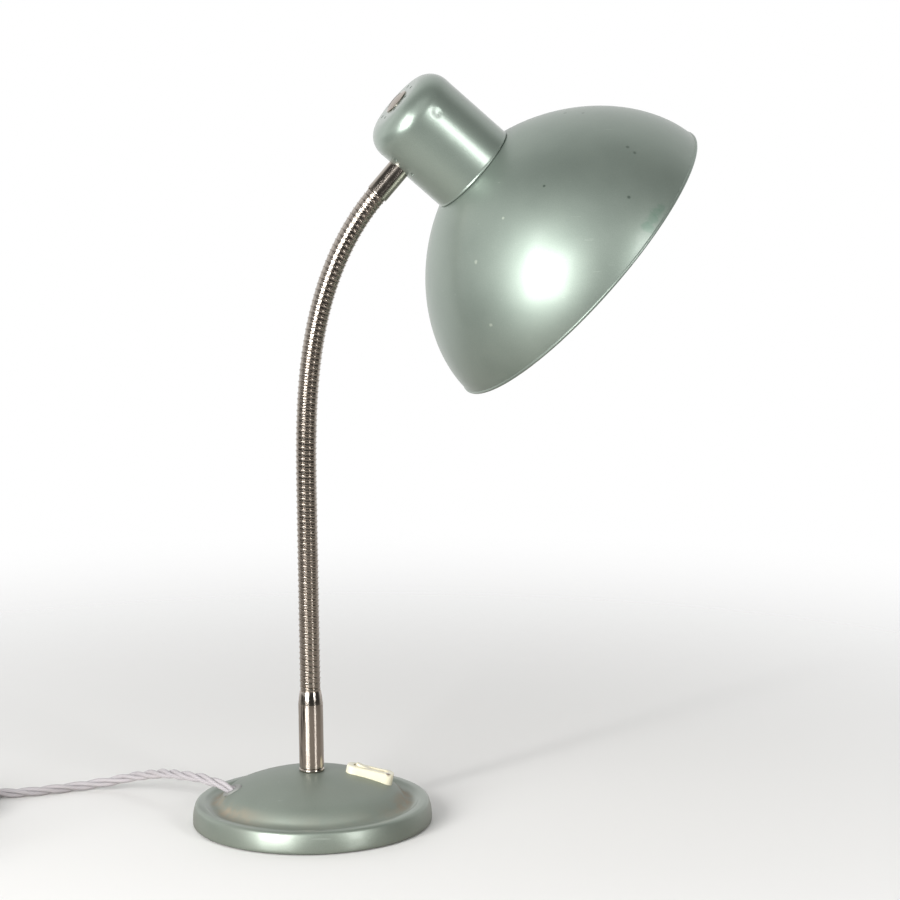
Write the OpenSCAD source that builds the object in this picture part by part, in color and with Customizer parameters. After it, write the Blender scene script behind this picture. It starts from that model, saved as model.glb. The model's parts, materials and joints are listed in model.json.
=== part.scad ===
// Gooseneck desk lamp: a weighted round base with a rocker switch, a bending metal hose, a
// head with a spun shade and a screw lampholder, and a twisted mains lead with its plug.
// +Z is up, +X is the way the neck leans, and the origin is the centre of the base's underside.

/* [Base] */
// Diameter of the round base
base_d = 150; // [125:1:180]
// Height of the middle of the dome above the table
base_h = 33; // [30:0.5:40]
// Thickness of the pressed steel shell
base_wall = 1.2; // [1:0.1:1.5]
// Height of the rim's flat top above the table
rim_h = 14.3; // [13:0.1:16]
// Distance from the rim's outside to the inner end of its flat top
rim_w = 6.6; // [6:0.1:8]
// Radius of the rim's outer corner
bead_r = 3; // [2:0.25:4]
// Radius of the rim's inner corner
bead_in_r = 3; // [2:0.25:4]
// Radius of the trough between the rim and the dome
trough_r = 6; // [5:0.25:7]
// Radius of the dome's foot, where it falls into the trough
foot_r = 19.5; // [16:0.5:22]
// Thickness of the felt under the base
felt_t = 2; // [1.5:0.25:3]
// Thickness of the steel plate that closes the base
plate_t = 1.2; // [1:0.1:1.6]

/* [Switch] */
// Length of the switch housing's rim
switch_l = 30; // [27:0.5:33]
// Width of the switch housing's rim
switch_w = 12.5; // [11.5:0.5:15]
// Height of the housing's rim above the dome
switch_h = 5.2; // [4.6:0.1:6.5]
// Angle by which the housing stands nearer to level than the dome under it
switch_level = 4; // [0:0.5:6]
// Direction of the switch seen from the stem, in degrees
switch_az = -6; // [-20:1:20]
// Turn of the switch about its own middle, in degrees
switch_turn = -9; // [-15:1:15]
// Tilt of the rocker to each side, in degrees
rocker_tilt = 8; // [6:0.5:8.5]

/* [Neck] */
// Outside diameter of the ribbed hose
hose_d = 12.8; // [10.6:0.1:15.4]
// Distance from one rib to the next
rib_pitch = 3.54; // [3.4:0.02:4.2]
// Number of links between the hose's two ends
link_count = 17; // [14:1:17]
// Angle from upright of the neck's upper end, in degrees
lean = 41.8; // [30:0.1:48]
// Link at which the neck begins to lean
lean_start = 6.8; // [4:0.1:8]
// Length of the lower ferrule above its collar
lower_ferrule_l = 49.3; // [40:0.1:60]
// Wall of the lower ferrule
lower_ferrule_wall = 1.85; // [1.5:0.05:2.4]
// Visible length of the upper ferrule
upper_ferrule_l = 20.2; // [16:0.1:26]
// Wall of the upper ferrule
upper_ferrule_wall = 1.15; // [0.9:0.05:1.6]

/* [Head] */
// Diameter of the shade's open rim
shade_d = 210; // [175:1:252]
// Height of the shade's curve
shade_h = 94.5; // [79:0.5:113]
// Thickness of the shade's sheet
shade_wall = 0.8; // [0.6:0.1:1.2]
// Diameter of the cap over the lampholder
cap_d = 60; // [56:0.5:68]
// Length of the cap
cap_l = 62.2; // [58:0.1:72]
// Radius of the cap's corner
cap_corner = 13.5; // [9:0.5:15]
// Thickness of the cap's sheet
cap_wall = 0.9; // [0.7:0.1:1.1]
// Distance from the cap's open rim to the neck's axis
neck_entry = 34.7; // [31:0.1:38]
// Diameter of the lampholder's threaded front
holder_d = 39.5; // [38:0.5:41]
// Diameter of the bulb
bulb_d = 60; // [55:1:62]

/* [Lead] */
// Diameter of the twisted three-core lead
cord_d = 6.3; // [5.4:0.1:7]
// Radius of the coil's middle turn
coil_r = 32.5; // [30:0.5:40]
// Number of turns that the coil is wide
coil_wide = 3; // [2:1:4]

/* [Hidden] */
$fn = 72;

// Clearances
running = 0.05;
easy = 0.3;
snug = 0.1;

// ---- Base: the shell's outline is a chain of tangent arcs in the plane of radius and height
base_r = base_d / 2;
shell_gap = 0.8;
side_slope = 60;
rim_slope = 40;
wall_r = 30;
wall_a = 18;
wall_c = [base_r - wall_r, rim_h - bead_r - (wall_r - bead_r) * sin(wall_a)];
bead_c = [wall_c.x + (wall_r - bead_r) * cos(wall_a), rim_h - bead_r];
bead_in_c = [base_r - rim_w, rim_h - bead_in_r];
trough_c = bead_in_c + (bead_in_r + trough_r) * [-sin(rim_slope), cos(rim_slope)];
foot_start = trough_c - trough_r * [sin(side_slope), cos(side_slope)];
foot_c = foot_start - foot_r * [sin(side_slope), cos(side_slope)];
dome_r = (pow(foot_c.x, 2) + pow(foot_c.y - base_h, 2) - pow(foot_r, 2))
    / (2 * (base_h - foot_c.y - foot_r));
dome_c = [0, base_h - dome_r];
meet_a = atan2(foot_c.y - dome_c.y, foot_c.x);
meet_r = dome_r * cos(meet_a);

// Stem: an M10 spigot through a small flat in the middle of the dome
thread_r = 5;
thread_gap = 0.1;
wire_r = 3.2;
seat_r = 9;
seat_z = dome_c.y + sqrt(pow(dome_r, 2) - pow(seat_r, 2));
collar_h = 2.3;
collar_r = 8;
nut_flats = 17;
nut_h = 5;
washer_t = 1.5;
recess_r = 14;
recess_top = 16;
nut_r = nut_flats / 2 / cos(30);

plate_top = felt_t + plate_t;
plate_r = base_r - base_wall - 0.4;
felt_r = plate_r - 1.4;
screw_circle = base_r - 15;
screw_r = 1.95;
screw_head_r = 3.6;
screw_l = 8;
screw_angles = [60, 180 + 60, 300];
weight_top = trough_c.y - trough_r - base_wall - 0.6;

// Switch
switch_r = max(foot_start.x - 21.5, 27);
switch_lean = dome_tilt(switch_r) - switch_level;
slot_l = switch_l - 5;
slot_w = switch_w - 3;
switch_depth = 13;
well_l = slot_l - 2.6;
well_w = 5.6;
well_depth = 11;
rocker_l = well_l - 2.2;
rocker_w = well_w - 2 * easy;
rocker_pin_z = switch_h - 4.4;
rocker_pin_r = 1;
rocker_pin_l = 8.8;
contact_x = 7;
contact_l = 5;
contact_w = 5;
contact_t = 0.8;
contact_screw_h = 3;
contact_screw_r = 1.5;

// Cord gland: a grommet whose lips follow the dome
gland_az = 177;
gland_r = foot_start.x - 7;
gland_heading = 158;
gland_rise = 32;
gland_body_r = 5;
gland_lip_r = 5.8;
gland_lip_t = 0.9;
grip_r = 5.5;
grip_near = 9;
grip_far = 14;
cord_r = cord_d / 2;
lead_r = 1.2;
lead_z = 6.4;

// ---- Neck: every link has a socket at its lower end and a ball at its upper end
rib_w = 0.605 * rib_pitch;
rib_depth = 0.6;
ribs_per_link = 5;
pitch = ribs_per_link * rib_pitch;
hose_r = hose_d / 2;
valley_r = hose_r - rib_depth;
socket_r = valley_r - 0.6;
ball_gap = 0.15;
ball_r = socket_r - ball_gap;
ball_stem_r = ball_r - 0.65;
hose_bore_r = ball_r - 2.7;
ball_low = -acos(ball_stem_r / ball_r);
ball_high = acos((hose_bore_r + 0.2) / ball_r);
skirt = 1.5;
socket_low = -asin(skirt / socket_r);
socket_high = acos(hose_bore_r / socket_r);
shoulder = skirt + rib_pitch - rib_w;
lower_plug_l = 12;
upper_plug_l = 10;
collar_top = seat_z + collar_h;
ferrule_top = collar_top + lower_ferrule_l;

// Angle from upright of part k of the neck: 0 is its lower end, link_count + 1 its upper end
function tilt(k) = lean * pow(max(0, (k - lean_start) / (link_count + 1 - lean_start)), 2);
// Place of ball joint j, counted from 1 at the bottom
function joint_at(j) = j == 1
    ? [0, 0, ferrule_top + pitch / 2]
    : joint_at(j - 1) + pitch * [sin(tilt(j - 1)), 0, cos(tilt(j - 1))];
top_joint = joint_at(link_count + 1);
neck_dir = [sin(lean), 0, cos(lean)];
hose_end = top_joint + pitch / 2 * neck_dir;

// ---- Head: its own Z runs from the shade's rim back to the cap, and the neck comes from -X
cap_r = cap_d / 2;
seam = 1.1;
crown_r = 25;
curve_power = 1.12;
shade_r = shade_d / 2;
crown_u = acos(pow(crown_r / shade_r, 1 / curve_power));
crown_h = shade_h * pow(sin(crown_u), curve_power);
// Height of the shade's outside over its rim at radius r
function shade_z(r) = shade_h * pow(sin(acos(pow(r / shade_r, 1 / curve_power))), curve_power);
cap_rim_z = shade_z(cap_r) + seam;
cap_top_z = cap_rim_z + cap_l;
entry_z = cap_rim_z + neck_entry;
head_at = hose_end + (upper_ferrule_l + cap_r) * neck_dir + entry_z * [cos(lean), 0, -sin(lean)];
vent_r = 1.1;
vent_ring = 13;
entry_vent_ring = 13.5;

holder_r = holder_d / 2;
flange_r = holder_r + 4.25;
flange_t = 2.5;
flange_z = crown_h + 0.1;
holder_front_z = crown_h - 8.4;
holder_back_r = 17;
holder_back_z = crown_h + 39.6;
boss_r = 8.5;
boss_h = 8.5;
shell_r = 13.85;
shell_wall = 0.45;
shell_z = crown_h + 1.6;
floor_z = crown_h + 28.6;
mouth_r = 14.4;
terminal_y = 12.8;
terminal_r = 2;
terminal_h = 3.5;
lock_nut_flats = 14;
lock_nut_h = 3.5;
cap_nut_r = 8.5;
cap_nut_h = 2.6;

// Bulb, hung from the lampholder's centre contact
bulb_cap_r = 13.2;
bulb_r = bulb_d / 2;
tip_z = floor_z - 2;
bulb_cap_z = tip_z - 26;
bulb_l = 104;
bulb_c_z = tip_z - bulb_l + bulb_r;
bulb_wall = 0.8;
bulb_turn = 35;
bulb_neck_r = 13.9;
bulb_neck_z = bulb_cap_z - 7;

// ---- Route of the lead, from the gland over the rim and along the table to the coil
cord_route = [
    [-60, 9, 26], [-68, 20, 26.5], [-78, 36, 24.5], [-87, 55, 21], [-96, 71, 16.5], [-107, 87, 11],
    [-120, 96, 6.5], [-139, 100, 3.5], [-158, 96.5, 3.2], [-178, 94, 3.2], [-198, 96.5, 3.3],
    [-222, 99.3, 3.6], [-232, 99.8, 3.8]
];
tail_route = [
    [-277.5, 36, 13.2], [-277.5, 26, 11.2], [-277.5, 14, 9.4], [-277.5, 2, 8.9], [-277.5, -7, 9.5],
    [-277.5, -14.8, 10]
];
coil_at = [-245, 61];
coil_lift = 0.9;
coil_half = coil_wide * cord_d / 2 + easy;
coil_h = 17.4;
coil_bevel = 3;
tie_az = -40;
tie_w = 6;
tie_t = 0.8;

// Plug
relief_end = [-277.5, -15, 10];
relief_l = 30;
plug_w = 50;
plug_l = 52;
plug_h = 22;
pin_gap = 22.2;
pin_line = 17;

// ---- Helpers
function arc(c, r, a0, a1, n) = [
    for (i = [0 : n - 1])
        let (a = a0 + (a1 - a0) * i / n)
        c + r * [cos(a), sin(a)]
];
function reversed(list) = [for (i = [len(list) - 1 : -1 : 0]) list[i]];
function unit(v) = v / norm(v);

// The shell's outline at depth t below its outside, from the rim to the edge of the stem's seat
function shell_line(t) = concat(
    [[base_r - t, shell_gap]],
    arc(wall_c, wall_r - t, 0, wall_a, 3),
    arc(bead_c, bead_r - t, wall_a, 90, 6),
    arc(bead_in_c, bead_in_r - t, 90, 90 + rim_slope, 4),
    arc(trough_c, trough_r + t, 270 + rim_slope, 270 - side_slope, 7),
    arc(foot_c, foot_r - t, 90 - side_slope, meet_a, 6),
    arc(dome_c, dome_r - t, meet_a, acos(seat_r / dome_r), 10)
);
function dome_z(r) = r < meet_r
    ? dome_c.y + sqrt(pow(dome_r, 2) - pow(r, 2))
    : foot_c.y + sqrt(pow(foot_r, 2) - pow(r - foot_c.x, 2));
function dome_tilt(r) = r < meet_r ? asin(r / dome_r) : asin((r - foot_c.x) / foot_r);

// A smooth curve through the given points, with n steps between each two
function curve_point(a, b, c, d, t) =
    0.5 * (2 * b + (c - a) * t + (2 * a - 5 * b + 4 * c - d) * t * t
        + (3 * b - a - 3 * c + d) * t * t * t);
function curve(p, n) = concat(
    [
        for (i = [0 : len(p) - 2], j = [0 : n - 1])
            curve_point(p[max(i - 1, 0)], p[i], p[i + 1], p[min(i + 2, len(p) - 1)], j / n)
    ],
    [p[len(p) - 1]]
);

// A round tube of the given radius along a line of points; side is never along the line
module tube(line, radius, side, sides = 8) {
    last = len(line) - 1;
    rings = [
        for (i = [0 : last])
            let (
                along = unit(line[min(i + 1, last)] - line[max(i - 1, 0)]),
                u = unit(cross(along, side)),
                v = cross(along, u)
            )
            for (k = [0 : sides - 1])
                line[i] + radius * (cos(360 * k / sides) * u + sin(360 * k / sides) * v)
    ];
    skin = [
        for (i = [0 : last - 1], k = [0 : sides - 1])
            [
                i * sides + k, (i + 1) * sides + k,
                (i + 1) * sides + (k + 1) % sides, i * sides + (k + 1) % sides
            ]
    ];
    start = [[for (k = [0 : sides - 1]) k]];
    end = [[for (k = [sides - 1 : -1 : 0]) last * sides + k]];
    polyhedron(points = rings, faces = concat(start, skin, end), convexity = 6);
}

// A bar with round ends, standing on z = 0
module oblong(l, w, h) {
    translate([-(l - w) / 2, -w / 2, 0])
        cube([l - w, w, h]);
    for (side = [-1, 1])
        translate([side * (l - w) / 2, 0, 0])
            cylinder(r = w / 2, h = h);
}

// A block with four round upright edges, standing on z = 0
module round_slab(l, w, h, r) {
    for (x = [-1, 1], y = [-1, 1])
        translate([x * (l / 2 - r), y * (w / 2 - r), 0])
            cylinder(r = r, h = h, $fn = 32);
}

module hexagon_nut(flats, h, hole) {
    difference() {
        cylinder(r = flats / 2 / cos(30), h = h, $fn = 6);
        translate([0, 0, -1])
            cylinder(r = hole, h = h + 2);
    }
}

// ---- Places
module at_switch() {
    translate([switch_r * cos(switch_az), switch_r * sin(switch_az), dome_z(switch_r)])
        rotate([0, switch_lean, switch_az])
            rotate([0, 0, switch_turn])
                children();
}

gland_at = [gland_r * cos(gland_az), gland_r * sin(gland_az), dome_z(gland_r)];
gland_dir = [
    cos(gland_rise) * cos(gland_heading), cos(gland_rise) * sin(gland_heading), sin(gland_rise)
];
module at_gland() {
    translate(gland_at)
        rotate([0, 90 - gland_rise, gland_heading])
            children();
}

module at_hose_end() {
    translate(hose_end)
        rotate([0, lean, 0])
            children();
}

module at_head() {
    translate(head_at)
        rotate([0, lean - 90, 0])
            children();
}

module at_plug() {
    translate([relief_end.x, relief_end.y - relief_l, 0])
        children();
}

// ---- Base
// The band between two depths under the shell's outside
module shell_band(t0, t1) {
    rotate_extrude($fn = 120)
        polygon(concat(shell_line(t0), reversed(shell_line(t1))));
}

module base_shell() {
    top_hole = thread_r + thread_gap;
    outside = concat(shell_line(0), [[seat_r, seat_z], [top_hole, seat_z]]);
    inside = concat(
        shell_line(base_wall), [[seat_r, seat_z - base_wall], [top_hole, seat_z - base_wall]]
    );
    color("#93a192")
        difference() {
            rotate_extrude($fn = 120)
                polygon(concat(outside, reversed(inside)));
            at_switch()
                translate([-(slot_l / 2 + easy), -(slot_w / 2 + easy), -8])
                    cube([slot_l + 2 * easy, slot_w + 2 * easy, 14]);
            at_gland()
                translate([0, 0, -9])
                    cylinder(r = gland_body_r + snug, h = 18);
        }
}

module base_weight() {
    hole_r = thread_r + 0.5;
    under = 1.5;
    edge_r = base_r - base_wall - 1.2;
    edge_bevel = 3;
    boss_top = seat_z - base_wall - snug;
    boss_out = seat_r;
    far = foot_start.x - 3.5;
    crown = [
        for (i = [0 : 4])
            let (r = far + (recess_r - far) * i / 4)
            [r, dome_z(r) - base_wall - under]
    ];
    pocket_x = switch_r - 2;
    pocket_l = switch_l + 3;
    pocket_w = switch_w + 6.5;
    grip_pocket = [30, 26];
    channel_w = 13;
    color("#4a4c4a")
        difference() {
            rotate_extrude($fn = 96)
                polygon(concat(
                    [
                        [recess_r, plate_top],
                        [edge_r, plate_top],
                        [edge_r, weight_top - edge_bevel],
                        [edge_r - edge_bevel, weight_top],
                        [far + 2, weight_top]
                    ],
                    crown,
                    [
                        [boss_out, crown[4].y],
                        [boss_out, boss_top],
                        [hole_r, boss_top],
                        [hole_r, recess_top],
                        [recess_r, recess_top]
                    ]
                ));
            // Pocket for the switch, right through
            rotate([0, 0, switch_az])
                translate([pocket_x, 0, 0])
                    rotate([0, 0, switch_turn])
                        translate([-pocket_l / 2, -pocket_w / 2, 0])
                            cube([pocket_l, pocket_w, base_h + 5]);
            // Pocket for the cord grip
            translate([-gland_r - 8, -grip_pocket.y / 2, 8])
                cube([grip_pocket.x, grip_pocket.y, base_h]);
            // Channel for the leads along the underside
            translate([-gland_r + 8, -channel_w / 2, 0])
                cube([gland_r - 8 + pocket_x - 10, channel_w, 10]);
            for (a = screw_angles)
                rotate([0, 0, a])
                    translate([screw_circle, 0, 0])
                        cylinder(r = screw_r + running, h = plate_top + screw_l);
        }
}

module base_plate() {
    color("#8b8d8c")
        difference() {
            translate([0, 0, felt_t])
                cylinder(r = plate_r, h = plate_t);
            for (a = screw_angles)
                rotate([0, 0, a])
                    translate([screw_circle, 0, felt_t])
                        rotate_extrude()
                            polygon([
                                [0, -1], [screw_head_r + running, -1], [screw_head_r + running, 0],
                                [screw_r + running, plate_t], [screw_r + running, plate_t + 1],
                                [0, plate_t + 1]
                            ]);
        }
}

module base_felt() {
    color("#3d4a40")
        cylinder(r = felt_r, h = felt_t);
}

module plate_screws() {
    color("silver")
        for (a = screw_angles)
            rotate([0, 0, a])
                translate([screw_circle, 0, felt_t])
                    rotate_extrude()
                        polygon([
                            [0, 0], [screw_head_r, 0], [screw_r, plate_t], [screw_r, screw_l],
                            [0, screw_l + 0.6]
                        ]);
}

module stem_collar() {
    round_r = collar_h / 2;
    color("silver")
        rotate_extrude()
            translate([0, seat_z])
                polygon(concat(
                    [[thread_r + thread_gap, 0], [collar_r - round_r, 0]],
                    arc([collar_r - round_r, round_r], round_r, -72, 90, 6),
                    [[collar_r - round_r, collar_h], [thread_r + thread_gap, collar_h]]
                ));
}

module stem_washer() {
    color("#8f9190")
        translate([0, 0, recess_top - washer_t])
            difference() {
                cylinder(r = 11.5, h = washer_t);
                translate([0, 0, -1])
                    cylinder(r = thread_r + thread_gap, h = washer_t + 2);
            }
}

module stem_nut() {
    color("#b08d3c")
        translate([0, 0, recess_top - washer_t - nut_h])
            hexagon_nut(nut_flats, nut_h, thread_r + running);
}

module lower_ferrule() {
    outer = valley_r + lower_ferrule_wall + running;
    socket = valley_r + running;
    spigot_end = recess_top - washer_t - nut_h - 1.5;
    color("#c4c6c6")
        rotate_extrude()
            polygon([
                [wire_r, spigot_end],
                [thread_r - 0.7, spigot_end],
                [thread_r, spigot_end + 0.7],
                [thread_r, collar_top],
                [outer - 0.4, collar_top],
                [outer, collar_top + 0.4],
                [outer, ferrule_top - 0.5],
                [outer - 0.5, ferrule_top],
                [socket, ferrule_top],
                [socket, ferrule_top - lower_plug_l - 0.2],
                [wire_r, ferrule_top - lower_plug_l - 0.2]
            ]);
}

// ---- Switch
module switch_housing() {
    lip_r = 4.5;
    color("#efe6c8")
        difference() {
            union() {
                difference() {
                    at_switch()
                        hull() {
                            translate([0, 0, -4])
                                round_slab(switch_l, switch_w, switch_h + 2.8, lip_r);
                            translate([0, 0, switch_h - 0.5])
                                round_slab(switch_l - 0.9, switch_w - 0.9, 0.1, lip_r - 0.3);
                            translate([0, 0, switch_h - 0.1])
                                round_slab(switch_l - 2.3, switch_w - 2.3, 0.1, lip_r - 1);
                        }
                    translate([0, 0, dome_c.y])
                        sphere(r = dome_r + running, $fn = 200);
                }
                at_switch()
                    translate([-slot_l / 2, -slot_w / 2, -switch_depth])
                        cube([slot_l, slot_w, switch_depth + 1]);
            }
            at_switch() {
                translate([0, 0, -well_depth])
                    oblong(well_l, well_w, well_depth + switch_h + 1);
                translate([0, (rocker_pin_l + 0.2) / 2, rocker_pin_z])
                    rotate([90, 0, 0])
                        cylinder(r = rocker_pin_r + 0.02, h = rocker_pin_l + 0.2);
            }
        }
}

module rocker() {
    end_z = switch_h + 0.4;
    dip_z = switch_h - 0.6;
    edge_z = switch_h - 2.4;
    belly_z = rocker_pin_z - 4.1;
    color("#f3ecd2")
        at_switch()
            translate([0, 0, rocker_pin_z])
                rotate([0, rocker_tilt, 0])
                    translate([0, 0, -rocker_pin_z])
                        difference() {
                            intersection() {
                                translate([0, rocker_w / 2, 0])
                                    rotate([90, 0, 0])
                                        linear_extrude(rocker_w)
                                            polygon([
                                                [-rocker_l / 2, end_z], [0, dip_z],
                                                [rocker_l / 2, end_z], [rocker_l / 2, edge_z],
                                                [4, belly_z], [-4, belly_z],
                                                [-rocker_l / 2, edge_z]
                                            ]);
                                translate([0, 0, belly_z - 1])
                                    oblong(rocker_l, rocker_w, end_z - belly_z + 2);
                            }
                            translate([0, rocker_w, rocker_pin_z])
                                rotate([90, 0, 0])
                                    cylinder(r = rocker_pin_r + running, h = 2 * rocker_w);
                        }
}

module rocker_pin() {
    color("silver")
        at_switch()
            translate([0, rocker_pin_l / 2, rocker_pin_z])
                rotate([90, 0, 0])
                    cylinder(r = rocker_pin_r, h = rocker_pin_l);
}

module switch_contacts() {
    color("#c8a951")
        at_switch()
            for (side = [-1, 1]) {
                translate([
                    side * contact_x - contact_l / 2, -contact_w / 2, -switch_depth - contact_t
                ])
                    cube([contact_l, contact_w, contact_t]);
                translate([side * contact_x, 0, -switch_depth - contact_t - contact_screw_h])
                    cylinder(r = contact_screw_r, h = contact_screw_h);
            }
}

// ---- Cord gland and what lies behind it
module gland_part(r, t0, t1) {
    intersection() {
        at_gland()
            translate([0, 0, -10])
                cylinder(r = r, h = 20);
        shell_band(t0, t1);
    }
}

module cord_gland() {
    color("#3a3b3a")
        difference() {
            union() {
                gland_part(gland_lip_r, -running - gland_lip_t, -running);
                gland_part(gland_body_r, -running - 0.3, base_wall + running + 0.3);
                gland_part(gland_lip_r, base_wall + running, base_wall + running + gland_lip_t);
            }
            at_gland()
                translate([0, 0, -12])
                    cylinder(r = cord_r + 0.25, h = 24);
        }
}

module cord_grip() {
    color("#8f9190")
        at_gland()
            translate([0, 0, -grip_far])
                difference() {
                    cylinder(r = grip_r, h = grip_far - grip_near);
                    translate([0, 0, -1])
                        cylinder(r = cord_r + running, h = grip_far - grip_near + 2);
                }
}

grip_end = gland_at - (grip_far + 1.4) * gland_dir;
// Place of a switch contact's screw end: side is -1 for the one by the stem, 1 for the outer one
function contact_end(side) =
    let (
        along = side * contact_x,
        down = switch_depth + contact_t + contact_screw_h + 0.2,
        r = switch_r + along * cos(switch_lean) - down * sin(switch_lean)
    )
    [
        r * cos(switch_az) - along * sin(switch_az) * sin(switch_turn),
        r * sin(switch_az) + along * sin(switch_turn),
        dome_z(switch_r) - along * sin(switch_lean) - down * cos(switch_lean)
    ];

module base_leads() {
    near = contact_end(-1);
    beyond = contact_end(1);
    live_in = [
        grip_end + [0, 1.6, 0], grip_end + [6, 2.4, -5], [-26, 2.9, lead_z], [-12, 2.9, lead_z],
        [4, 2.9, lead_z], [max(near.x - 8, nut_r + lead_r), 2, lead_z],
        [near.x - 1, near.y, near.z - lead_r]
    ];
    live_out = [
        [beyond.x, beyond.y, beyond.z - lead_r], [beyond.x - 5, beyond.y + 1, lead_z - 1],
        [near.x, -6, lead_z - 1], [12, -4, lead_z - 0.6], [4, -1, lead_z - 0.2],
        [1.5, 0, lead_z + 3], [1.5, 0, lead_z + 14]
    ];
    neutral = [
        grip_end + [0, -1.6, 0], grip_end + [6, -1.6, -5], [-26, -2.6, lead_z], [-12, -2.6, lead_z],
        [-4, -1, lead_z - 0.2], [-1.5, 0, lead_z + 3], [-1.5, 0, lead_z + 14]
    ];
    color("#7d5a3a")
        for (route = [live_in, live_out, neutral])
            tube(curve(route, 3), lead_r, [0, 1, 0]);
}

// ---- Neck
// One rib, from height z up
function rib(z) = [
    for (a = [0 : 45 : 180])
        [valley_r + rib_depth * sin(a), z + rib_w / 2 * (1 - cos(a))]
];
// The ribs of a link over its lower joint, from the first to the last one
function ribs(first, last, z0) = [
    for (i = [first : last])
        each rib(z0 - skirt + i * rib_pitch)
];
// The ball around height z, from its stem up to the bore
function ball(z) = concat(
    [[ball_stem_r, z - shoulder]],
    [
        for (i = [0 : 8])
            let (a = ball_low + (ball_high - ball_low) * i / 8)
            [ball_r * cos(a), z + ball_r * sin(a)]
    ],
    [[hose_bore_r, z + ball_r * sin(ball_high)]]
);
// The socket around the lower joint, from the bore down to the skirt
socket = [
    for (i = [0 : 7])
        let (a = socket_high + (socket_low - socket_high) * i / 7)
        [socket_r * cos(a), socket_r * sin(a)]
];

module neck_lower_end() {
    color("#a9a7a2")
        translate([0, 0, ferrule_top + pitch / 2])
            rotate_extrude()
                polygon(concat(
                    [
                        [hose_bore_r, -pitch / 2 - lower_plug_l],
                        [valley_r, -pitch / 2 - lower_plug_l]
                    ],
                    ribs(3, 4, -pitch),
                    ball(0)
                ));
}

module neck_link(k) {
    color("#a9a7a2")
        translate(joint_at(k))
            rotate([0, tilt(k), 0])
                rotate_extrude()
                    polygon(concat(ribs(0, 4, 0), ball(pitch), socket));
}

module neck_upper_end() {
    color("#a9a7a2")
        translate(top_joint)
            rotate([0, lean, 0])
                rotate_extrude()
                    polygon(concat(
                        ribs(0, 2, 0),
                        [
                            [valley_r, pitch / 2 + upper_plug_l],
                            [hose_bore_r, pitch / 2 + upper_plug_l]
                        ],
                        socket
                    ));
}

module upper_ferrule() {
    outer = valley_r + upper_ferrule_wall + running;
    socket_in = valley_r + running;
    spigot_l = upper_ferrule_l + 8.8;
    color("#c4c6c6")
        difference() {
            union() {
                difference() {
                    at_hose_end()
                        cylinder(r = outer, h = upper_ferrule_l + 1.5);
                    at_head()
                        cylinder(r = cap_r + running, h = cap_top_z);
                }
                at_hose_end()
                    cylinder(r = thread_r, h = spigot_l);
            }
            at_hose_end()
                translate([0, 0, -1])
                    cylinder(r = socket_in, h = upper_plug_l + 1.2);
            at_hose_end()
                cylinder(r = wire_r, h = spigot_l + 1);
        }
}

module neck_nut() {
    // Its six corners bear on the inside of the cap's round wall
    bearing = sqrt(pow(cap_r - cap_wall, 2) - pow(nut_r, 2)) - snug;
    color("#b08d3c")
        at_head()
            translate([-bearing, 0, entry_z])
                rotate([0, 90, 0])
                    rotate([0, 0, 30])
                        hexagon_nut(nut_flats, nut_h, thread_r + running);
}

// ---- Head
module cap() {
    corner_c = [cap_r - cap_corner, cap_top_z - cap_corner];
    inner_corner = cap_corner - cap_wall;
    end_hole = thread_r + thread_gap;
    rim_bead = 0.6;
    color("#93a192")
        at_head()
            difference() {
                union() {
                    rotate_extrude($fn = 96)
                        polygon(concat(
                            [[cap_r - cap_wall, cap_rim_z + 0.4], [cap_r, cap_rim_z + 0.4]],
                            arc(corner_c, cap_corner, 0, 90, 9),
                            [
                                [corner_c.x, cap_top_z], [end_hole, cap_top_z],
                                [end_hole, cap_top_z - cap_wall], [corner_c.x, cap_top_z - cap_wall]
                            ],
                            reversed(arc(corner_c, inner_corner, 0, 90, 9))
                        ));
                    rotate_extrude($fn = 96)
                        translate([cap_r - rim_bead + 0.2, cap_rim_z + rim_bead])
                            circle(r = rim_bead, $fn = 20);
                }
                // The neck's hole and the vents round it
                translate([0, 0, entry_z])
                    rotate([0, -90, 0])
                        cylinder(r = thread_r + thread_gap, h = cap_r + 5);
                for (a = [0 : 60 : 300])
                    translate([0, entry_vent_ring * sin(a), entry_z + entry_vent_ring * cos(a)])
                        rotate([0, -90, 0])
                            cylinder(r = vent_r, h = cap_r + 5);
                for (a = [22.5 : 45 : 360])
                    rotate([0, 0, a])
                        translate([vent_ring, 0, cap_top_z - cap_corner])
                            cylinder(r = vent_r, h = cap_corner + 1);
            }
}

module cap_nut() {
    edge = 0.8;
    rise = cap_nut_h - edge;
    round_r = (pow(cap_nut_r, 2) + pow(rise, 2)) / (2 * rise);
    half = asin(cap_nut_r / round_r);
    color("#b9bab6")
        at_head()
            translate([0, 0, cap_top_z])
                difference() {
                    rotate_extrude()
                        polygon(concat(
                            [[0, 0], [cap_nut_r, 0]],
                            arc([0, cap_nut_h - round_r], round_r, 90 - half, 90, 6),
                            [[0, cap_nut_h]]
                        ));
                    translate([0, 0, -1])
                        cylinder(r = thread_r, h = 2.4);
                    translate([-cap_nut_r - 1, -0.7, cap_nut_h - 0.9])
                        cube([2 * cap_nut_r + 2, 1.4, 2]);
                }
}

module cap_nipple() {
    color("#8f9190")
        at_head()
            translate([0, 0, holder_back_z + 1])
                difference() {
                    cylinder(r = thread_r - running, h = cap_top_z - holder_back_z);
                    translate([0, 0, -1])
                        cylinder(r = 3.4, h = cap_top_z - holder_back_z + 2);
                }
}

module nipple_lock_nut() {
    color("#b08d3c")
        at_head()
            translate([0, 0, cap_top_z - cap_wall - running - lock_nut_h])
                hexagon_nut(lock_nut_flats, lock_nut_h, thread_r);
}

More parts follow.
